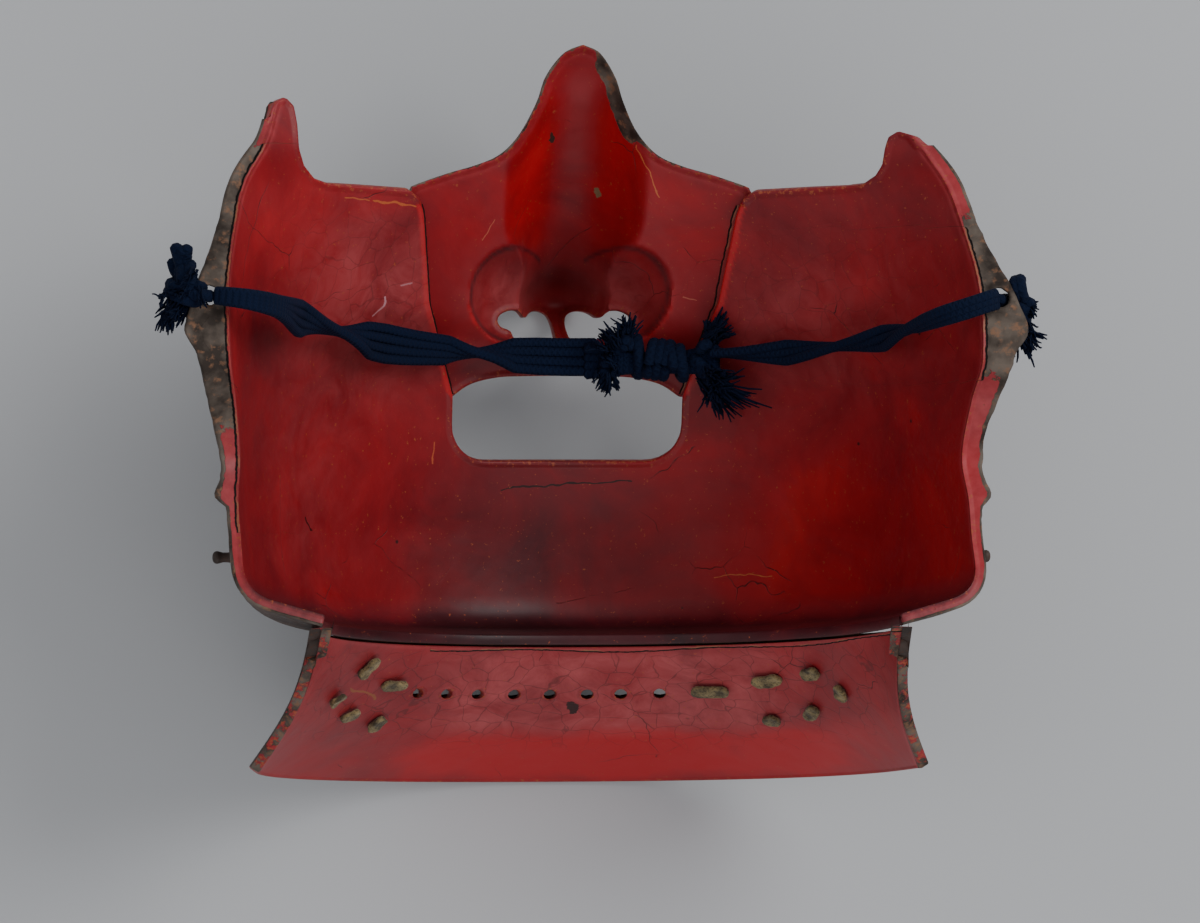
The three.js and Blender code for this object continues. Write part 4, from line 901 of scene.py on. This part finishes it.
# Nose piece. A second sheet of iron, raised into the bridge, the tip and two wings with pierced
# nostrils. It lies under the cheeks' edges and is held there by studs that don't show from inside.
BRIDGE_BACK = 57        # bridge's top above the floor
BULB_HALF_WIDTH = 9.9   # of the trough over the nose's tip
WING_RADIUS = 10.7
WING_OFFSET = 11.5      # nose middle to a wing's middle
WING_DEPTH = 9.4
BLEND_DEPTH = 5         # of the soft turn from the cheek into the bridge
SEPTUM_WIDTH = 3
NOSTRIL_WIDTH = 13.4
NOSTRIL_BOTTOM = 18.1
NOSTRIL_HEIGHT = 6.5

# Sections of the nose as shares: its back above the floor, its half width and the rise of its sides.
NOSE = {
    "height": [0.05, 0.17, 0.21, 0.245, 0.285, 0.315, 0.345, 0.395, 0.45, 0.52, 0.62, 0.68, 0.77, 0.85,
               0.92, 1.0],
    "back": [0.900, 0.620, 0.380, 0.220, 0.085, 0.028, 0.040, 0.135, 0.245, 0.365, 0.500, 0.580, 0.690, 0.800,
             0.880, 1.000],
    "half": [0.95, 0.95, 0.95, 0.95, 0.98, 0.99, 1.00, 1.08, 1.27, 1.50, 1.56, 1.52, 1.31, 1.01, 0.91, 0.91],
    "rise": [0.15, 0.15, 0.15, 0.22, 0.27, 0.30, 0.30, 0.35, 0.40, 0.39, 0.35, 0.31, 0.25, 0.16, 0.08, 0.07],
}
BRIDGE_EDGE = [(1.075, 0.035), (1.020, 0.060), (0.836, 0.129), (0.658, 0.186), (0.497, 0.265), (0.368, 0.413),
               (0.272, 0.618), (0.219, 0.789), (0.114, 0.945), (0.0, 1.0)]
LIP_EDGE = [(0.0, 1.0), (0.36, 0.97), (0.60, 0.90), (0.84, 0.58), (1.0, 0.0)]
NOSTRIL_EDGE = [(0.00, 0.00), (0.00, 0.52), (0.06, 0.87), (0.21, 1.00), (0.37, 0.94), (0.51, 0.73),
                (0.63, 0.94), (0.78, 0.97), (0.94, 0.84), (1.00, 0.64), (0.95, 0.42), (0.78, 0.27),
                (0.74, 0.00)]


def nose_height(x, y):
    """Height of the nose piece's inside: under the cheeks, down into the bridge, the ball and the wings."""
    step = 0.5
    slope_x = (face_height(x + step, y) - face_height(x - step, y)) / (2 * step)
    slope_y = (face_height(x, y + step) - face_height(x, y - step)) / (2 * step)
    cheek = face_height(x, y) - (WALL + JOINT_GAP) * np.sqrt(1 + slope_x ** 2 + slope_y ** 2)
    at = y / HALF_HEIGHT
    half = BULB_HALF_WIDTH * curve_through(NOSE, "half", at)
    rise = BRIDGE_BACK * curve_through(NOSE, "rise", at)
    trough = BRIDGE_BACK * curve_through(NOSE, "back", at) + rise * (np.abs(x) / half) ** 2.2
    overlap = np.maximum(BLEND_DEPTH - np.abs(cheek - trough), 0) / BLEND_DEPTH
    blended = np.minimum(cheek, trough) - overlap ** 2 * BLEND_DEPTH / 4
    from_wing = np.hypot(np.abs(x) - WING_OFFSET, y - WING_HEIGHT) / WING_RADIUS
    bowl = cheek - WING_DEPTH * np.maximum(1 - from_wing ** 2, 0) ** 0.6
    return np.minimum(blended, bowl)


def nose_under(x, y):
    """The nose's outside: balls of the sheet's thickness rolled over its inside, worn flat at the tip."""
    low = nose_height(x, y) - WALL
    for reach in (0.4, 0.75, 0.97):
        for k in range(12):
            r = reach * WALL
            turn = k * math.pi / 6
            beside = nose_height(x + r * math.cos(turn), y + r * math.sin(turn))
            low = np.minimum(low, beside - math.sqrt(WALL ** 2 - r * r))
    return np.maximum(low, 0)


def nose_outline():
    """The nose piece's outline in plan, with its laps under the cheeks."""
    upper = smooth_line([(x * SEAM_TOP, CHEEK_RIM + r * (HALF_HEIGHT - CHEEK_RIM), 0)
                         for x, r in BRIDGE_EDGE], 1.2)
    lip = smooth_line([(x * MOUTH_HALF_WIDTH, MOUTH_CORNER + r * (LIP_HEIGHT - MOUTH_CORNER), 0)
                       for x, r in LIP_EDGE], 1.5)
    lap = [(MOUTH_HALF_WIDTH + LAP_WIDTH, MOUTH_CORNER), (SEAM_MIDDLE + LAP_WIDTH, WING_HEIGHT - 2),
           (SEAM_TOP + LAP_WIDTH, CHEEK_RIM - 4)]
    right = [tuple(p[:2] / MM) for p in lip] + lap + [tuple(p[:2] / MM) for p in upper]
    return right + [(-x, y) for x, y in reversed(right)][1:-1]


# The grid is finest at the middle of the nose and at its nostrils.
nose_x = np.linspace(-1, 1, 139)
nose_x = (SEAM_TOP + LAP_WIDTH + 2.8) * (0.76 * nose_x + 0.24 * nose_x ** 3)
nose_y = HALF_HEIGHT + 1.5 - (HALF_HEIGHT + 1.5 - 2.5) * np.linspace(0, 1, 128) ** 0.9
X, Y = np.meshgrid(nose_x, nose_y)
moved_x, moved_y, away = snap_to(nose_outline(), X, Y, True)
right_nostril = smooth_line([(SEPTUM_WIDTH / 2 + x * NOSTRIL_WIDTH, NOSTRIL_BOTTOM + y * NOSTRIL_HEIGHT, 0)
                             for x, y in NOSTRIL_EDGE], 0.6)
right_nostril = [tuple(p[:2] / MM) for p in right_nostril]
for nostril in (right_nostril, [(-x, y) for x, y in right_nostril]):
    hole_x, hole_y, hole_away = snap_to(nostril, X, Y, False)
    moved_x = np.where(hole_away == 0, hole_x, moved_x)
    moved_y = np.where(hole_away == 0, hole_y, moved_y)
    away = np.minimum(away, hole_away)
X, Y = moved_x, moved_y
nose_in = np.stack([X, Y, nose_height(X, Y)], axis=-1)
nose_out = np.stack([X, Y, nose_under(X, Y)], axis=-1)
from_seam = from_outline(outline, X, Y)[0]
# Painted shadow: a black line on the nose piece along the cheeks' edges, where it lies under them.
seam_shadow_line = np.where((Y < CHEEK_RIM - 2) & (Y > MOUTH_CORNER), from_seam, 9.0)
wing_dark = spot(np.abs(X), Y, WING_OFFSET + 1, WING_HEIGHT - 1, 9, 8)
from_wing = np.hypot(np.abs(X) - WING_OFFSET, Y - WING_HEIGHT) - WING_RADIUS
# Painted highlight: a bright red line just outside each wing's rim, round its lower half. Painted shade: a
# dark ring just inside the rim.
wing_rim_highlight = np.exp(-((from_wing - 0.4) / 0.5) ** 2) * (np.abs(X) > 8) * between(Y, 0, WING_HEIGHT, 8)
wing_edge_shade = np.exp(-((from_wing + 0.5) / 0.4) ** 2) * (np.abs(X) > 5)
bridge_rim = np.where(Y > 40, np.maximum(away, 0), 9)
# Painted light and shade in the nose's red: brighter on both slopes of the bridge and on the soft ridges
# where it turns into the cheeks, painted highlights; darker in the middle of the bridge's trough and in the
# upper part of each wing's bowl, painted shade.
nose_fields = {
    "tone_light_and_shade": 0.66 + 0.22 * spot(np.abs(X), Y, 8, 58, 5, 18) - 0.16 * spot(X, Y, 0, 42, 6, 14)
    + 0.16 * spot(np.abs(X), Y, 22, 44, 10, 10)
    + 0.3 * wing_rim_highlight - 0.4 * wing_edge_shade - 0.2 * spot(np.abs(X), Y, WING_OFFSET, WING_HEIGHT + 6, 9, 4)
    - 0.06 * spot(X, Y, 0, 12, 40, 6),
    "haze_and_sheen": 0.78 * wing_dark + 0.12 * spot(X, Y, 0, 66, 4, 12) + 0.04,
    "bare": 0.75 * between(Y, 60, 79, 3) * between(X, 3, 30, 1) * np.clip((3.1 - bridge_rim) / 0.8, 0, 1)
    + 0.55 * np.clip((0.9 - bridge_rim) / 0.5, 0, 1),
    "pink": 0.35 * np.clip((2.4 - bridge_rim) / 1.2, 0, 1),
    "rim": np.maximum(away, 0),
    "crack_and_seam_shadow": np.clip(2.2 * seam_shadow_line - 0.6, -9, 9),
    "craze": 0.12 * wing_dark,
}
NOSE_SCRATCHES = [
    ((5.6, 50.4), (5.9, 49.6), 1.5, "#6E5A40"), ((13.2, 60.0), (17.4, 48.6), 0.22, "#B45A32"),
    ((24.6, 27.6), (27.4, 26.6), 0.22, "#A85040"), ((-17.6, 44.0), (-20.6, 39.0), 0.22, "#A84C38"),
    ((-4.6, 62.4), (-5.0, 61.6), 1.0, "#30201A"),
]
RED_NOSE = vermilion("vermilion urushi on the nose", NOSE_SCRATCHES)
nose_piece = sheet("nose_piece_lacquered", nose_in, nose_out, away, nose_fields,
                   [RED_NOSE, IRON, RED_EDGE], 0.35)
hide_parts("nose_piece")


# Throat flange. A curved band of the same lacquered iron, flared outwards and riveted under the shelf,
# with a row of lacing holes for the throat lames that once hung from it.
THROAT_HALF_WIDTH = 71
THROAT_BACK = 73        # height of its lower corners above the floor
THROAT_RISE = 6         # how much higher up the face those corners are
THROAT_HOLLOW = 2.6     # how far the flange curves inwards between its edges
LACE_HOLES = [-0.334, -0.255, -0.178, -0.097, -0.028, 0.026, 0.089, 0.171]
LACE_HOLE_ROW = 0.34    # share of the way from the crest to the lower edge
LACE_HOLE_RADIUS = 1.4
LACE_HOLE_STRETCH = 1.3  # how much longer the holes are down the flange
CREST_GAP = 0.4         # between this flange and the shelf's edge that it is riveted to
THROAT_COLUMNS = 317
THROAT_ROWS = 56
throat_across = np.linspace(-1, 1, THROAT_COLUMNS)
angle = np.abs(throat_across) * math.pi / 2
crest_index = (throat_across + 1) * ACROSS_HALF
shelf_edge = shell_out[-1, FLANGE_COLUMNS:-FLANGE_COLUMNS]
crest_row = np.stack([np.interp(crest_index, np.arange(len(shelf_edge)), shelf_edge[:, k])
                      for k in range(3)], axis=-1)
crest_row = crest_row + np.array([0, -CREST_GAP, 0])
flat = 2 / 2.5
edge_above_floor = WALL * 0.55
throat_edge = np.stack([
    np.sign(throat_across) * THROAT_HALF_WIDTH * np.sin(angle) ** flat,
    -HALF_HEIGHT + THROAT_RISE * throat_across ** 2,
    THROAT_BACK - (THROAT_BACK - edge_above_floor) * np.cos(angle) ** flat,
], axis=-1)
inwards = np.stack([-np.sin(throat_across * math.pi / 2), np.zeros(THROAT_COLUMNS),
                    np.cos(throat_across * math.pi / 2)], axis=-1)
share = np.repeat(np.linspace(0, 1, THROAT_ROWS)[:, None], THROAT_COLUMNS, axis=1)
throat_in = crest_row + (throat_edge - crest_row) * share[..., None]
throat_in = throat_in + inwards * (THROAT_HOLLOW * np.sin(math.pi * share))[..., None]
throat_normals = grid_normals(throat_in)
first = throat_normals[0].copy()
first_flat = first * np.array([1, 0, 1]) / (1 - first[:, 1:2] ** 2)
throat_out = throat_in + throat_normals * WALL
throat_out[0] = throat_in[0] + first_flat * WALL
throat_out[..., 2] = np.maximum(throat_out[..., 2], 0)
lace_row = throat_in[round(LACE_HOLE_ROW * (THROAT_ROWS - 1))]
along = np.concatenate([[0], np.cumsum(np.linalg.norm(np.diff(lace_row, axis=0), axis=1))])
along = np.repeat((along - along[-1] / 2)[None, :], THROAT_ROWS, axis=0)
fall = share * np.linalg.norm(throat_in[-1] - throat_in[0], axis=-1)
away = np.full(along.shape, 9.0)
moved_a, moved_f = along.copy(), fall.copy()
for place in LACE_HOLES:
    centre_a = np.interp(place, throat_across, along[0])
    centre_f = LACE_HOLE_ROW * np.interp(place, throat_across, fall[-1])
    circle = [(centre_a + LACE_HOLE_RADIUS * math.cos(t),
               centre_f + LACE_HOLE_STRETCH * LACE_HOLE_RADIUS * math.sin(t))
              for t in np.linspace(0, 2 * math.pi, 20, endpoint=False)]
    hole_a, hole_f, hole_away = snap_to(circle, along, fall, False)
    near = hole_away < 3
    moved_a = np.where(near & (hole_away == 0), hole_a, moved_a)
    moved_f = np.where(near & (hole_away == 0), hole_f, moved_f)
    away = np.where(near, np.minimum(away, hole_away), away)
tangent_a = unit(np.gradient(throat_in, axis=1))
tangent_f = unit(np.gradient(throat_in, axis=0))
slide = (moved_a - along)[..., None] * tangent_a + (moved_f - fall)[..., None] * tangent_f
throat_in = throat_in + slide
throat_out = throat_out + slide
# The holes run straight down, as they look from above, so their rims outside move along the fall.
plumb = (throat_in - throat_out)[..., 1:2] * np.clip(1 - np.abs(away) / 1.5, 0, 1)[..., None]
throat_out = throat_out + tangent_f * plumb / np.minimum(tangent_f[..., 1:2], -0.4)
X, Y = throat_in[..., 0], throat_in[..., 1]
end_rim = (1 - np.abs(np.repeat(throat_across[None, :], THROAT_ROWS, axis=0))) * along[0, -1]
low_rim = (1 - share) * fall[-1]
# Painted light and shade on the throat flange: the pink veil over its upper band is partly crazed, dulled
# lacquer and partly painted sheen, the lamps' broad reflection, and the veil is heavier towards its ends; the
# black line just below its top edge is painted shadow at its joint under the shelf.
throat_fields = {
    "tone_light_and_shade": 0.62 + 0.40 * between(share, 0.62, 0.97, 0.15) * between(X, -36, 60, 16)
    - 0.05 * between(share, 0.05, 0.5, 0.2)
    + 0.10 * np.clip(np.abs(X) / 60, 0, 1),
    "haze_and_sheen": 0.95 * between(share, 0.03, 0.62, 0.12) * between(along, -31, 52, 16) + 0.06
    + 0.30 * (1 - between(along, -36, 58, 20)),
    "bare": 0.52 * np.clip((1.6 - end_rim) / 0.8, 0, 1) + 0.30 * np.clip((0.8 - low_rim) / 0.5, 0, 1),
    "pink": 0.3 * np.clip((1.6 - fall) / 0.8, 0, 1) + 0.55 * between(end_rim, 1.2, 2.4, 0.8),
    "rim": np.minimum(np.minimum(np.maximum(away, 0) * 1.6, end_rim), np.minimum(low_rim, fall + 1)),
    "crack_and_seam_shadow": np.where((fall < 8) & (along > -36), 1.6 * (fall - 1.3 - 0.5 * np.sin(along / 7)) - 0.2, 9),
    "craze": 0.42 * between(share, 0.04, 0.70, 0.2),
}
THROAT_SCRATCHES = [
    ((0.6, -62.4), (1.6, -63.4), 1.9, "#30100E"), ((-50.0, -58.0), (-44.0, -60.0), 0.6, "#8A4A2A"),
]
RED_THROAT = vermilion("vermilion urushi on the throat flange", THROAT_SCRATCHES)
throat_flange = sheet("throat_flange_lacquered", throat_in, throat_out, away, throat_fields,
                      [RED_THROAT, IRON, RED_EDGE], 0.4)
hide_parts("throat_flange")


# Leather remnants. Short ends of the smoked deerskin laces that held the throat lames, dried hard,
# curled and cracked where they lie over the lacing slots.
def old_deerskin():
    """Smoked deerskin gone dry: matt tan and olive, darker in its creases, with a fibrous nap."""
    material, tree = new_material("dried smoked deerskin")
    where = add(tree, "ShaderNodeTexCoord", out="Object")
    nap = add(tree, "ShaderNodeTexNoise", {"Vector": where, "Scale": 1 / (0.5 * MM), "Detail": 5.0})
    stain = add(tree, "ShaderNodeTexNoise", {"Vector": where, "Scale": 1 / (2.6 * MM), "Detail": 4.0})
    colour = add(tree, "ShaderNodeMix", {
        0: add(tree, "ShaderNodeMapRange", {0: stain, 1: 0.35, 2: 0.65}),
        6: shade("#3E3420"), 7: shade("#8A7850"),
    }, out=2, data_type="RGBA")
    dark = add(tree, "ShaderNodeMapRange", {0: nap, 1: 0.5, 2: 0.35, 3: 0.0, 4: 0.7})
    colour = add(tree, "ShaderNodeMix", {0: dark, 6: colour, 7: shade("#2A2114")}, out=2, data_type="RGBA")
    bump = add(tree, "ShaderNodeBump", {"Height": nap, "Distance": 0.3 * MM, "Strength": 0.8})
    skin = add(tree, "ShaderNodeBsdfPrincipled", {
        "Base Color": colour, "Roughness": 0.88, "Sheen Weight": 0.1, "Normal": bump,
    })
    add(tree, "ShaderNodeOutputMaterial", {0: skin})
    return material


DEERSKIN = old_deerskin()


def merged_copy(node, name):
    """A copy of a CAD piece with its loose triangles joined, ready to be shaped further."""
    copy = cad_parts[node].copy()
    copy.data = copy.data.copy()
    copy.name = name
    bpy.context.scene.collection.objects.link(copy)
    bpy.ops.object.select_all(action="DESELECT")
    bpy.context.view_layer.objects.active = copy
    copy.select_set(True)
    bpy.ops.object.mode_set(mode="EDIT")
    bpy.ops.mesh.select_all(action="SELECT")
    bpy.ops.mesh.remove_doubles(threshold=0.00001)
    bpy.ops.mesh.tris_convert_to_quads()
    bpy.ops.object.mode_set(mode="OBJECT")
    return copy


def smooth_noise(places, seed, size):
    """A soft three-way wobble over places, from a few waves of random headings."""
    rng = np.random.default_rng(seed)
    total = np.zeros_like(places)
    for _ in range(6):
        wave = rng.normal(0, 1, 3) / size
        total += np.sin(places @ wave + rng.uniform(0, 6.3))[:, None] * rng.normal(0, 0.4, 3)
    return total


for i in range(1, 12):
    lace = merged_copy(f"lace_{i}", f"lace_remnant_{i}")
    remesh = lace.modifiers.new("even mesh", "REMESH")
    remesh.mode = "VOXEL"
    remesh.voxel_size = 0.28 * MM
    bpy.ops.object.modifier_apply(modifier=remesh.name)
    co = np.empty(len(lace.data.vertices) * 3)
    lace.data.vertices.foreach_get("co", co)
    co = co.reshape(-1, 3)
    co += smooth_noise(co, 30 + i, 0.9 * MM) * 0.17 * MM
    lace.data.vertices.foreach_set("co", co.ravel())
    lace.data.materials.clear()
    lace.data.materials.append(DEERSKIN)
    bpy.ops.object.shade_smooth()
    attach(lace, "root")
    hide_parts(f"lace_{i}")


# Jaw pegs. Small turned iron studs riveted outside the jaw, which a helmet cord hooks behind.
for side in ("left", "right"):
    peg = merged_copy(f"jaw_peg_{side}", f"peg_{side}")
    round_off = peg.modifiers.new("rounded", "SUBSURF")
    round_off.levels = 2
    round_off.render_levels = 2
    bpy.ops.object.modifier_apply(modifier=round_off.name)
    peg.data.materials.clear()
    peg.data.materials.append(IRON)
    bpy.ops.object.shade_smooth()
    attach(peg, "root")
    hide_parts(f"jaw_peg_{side}")


# Floor. A plain pale grey sheet of paper under the guard.
bpy.ops.mesh.primitive_plane_add(size=4, location=(0, 0, 0))
floor = bpy.context.object
floor.name = "floor"
paper, tree = new_material("pale grey paper")
skin = add(tree, "ShaderNodeBsdfPrincipled", {"Base Color": shade("#B6B7B9"), "Roughness": 0.9})
add(tree, "ShaderNodeOutputMaterial", {0: skin})
floor.data.materials.append(paper)


# Studio light. A large soft box up to the right, a weaker one to the left, a low one in front of the
# throat flange, and an even pale room.
def soft_box(name, place, size, power):
    """A rectangular lamp that faces the guard."""
    light = bpy.data.lights.new(name, "AREA")
    light.shape = "RECTANGLE"
    light.size, light.size_y = size
    light.energy = power
    lamp = bpy.data.objects.new(name, light)
    bpy.context.scene.collection.objects.link(lamp)
    lamp.location = place
    aim = np.array(CAMERA_AIM) - np.array(place)
    yaw = math.atan2(aim[1], aim[0])
    pitch = math.atan2(math.hypot(aim[0], aim[1]), -aim[2])
    lamp.rotation_euler = (0, -pitch, yaw)


soft_box("key light", (0.80, 0.62, 1.10), (0.95, 0.95), 13)
soft_box("fill light", (-1.2, 0.1, 1.1), (0.7, 1.2), 2.2)
soft_box("low light", (0.05, -1.05, 0.95), (0.7, 1.3), 4.2)
world = bpy.data.worlds.new("pale room")
bpy.context.scene.world = world
world.use_nodes = True
world.node_tree.nodes["Background"].inputs["Color"].default_value = shade("#E4E6EA")
world.node_tree.nodes["Background"].inputs["Strength"].default_value = 0.62
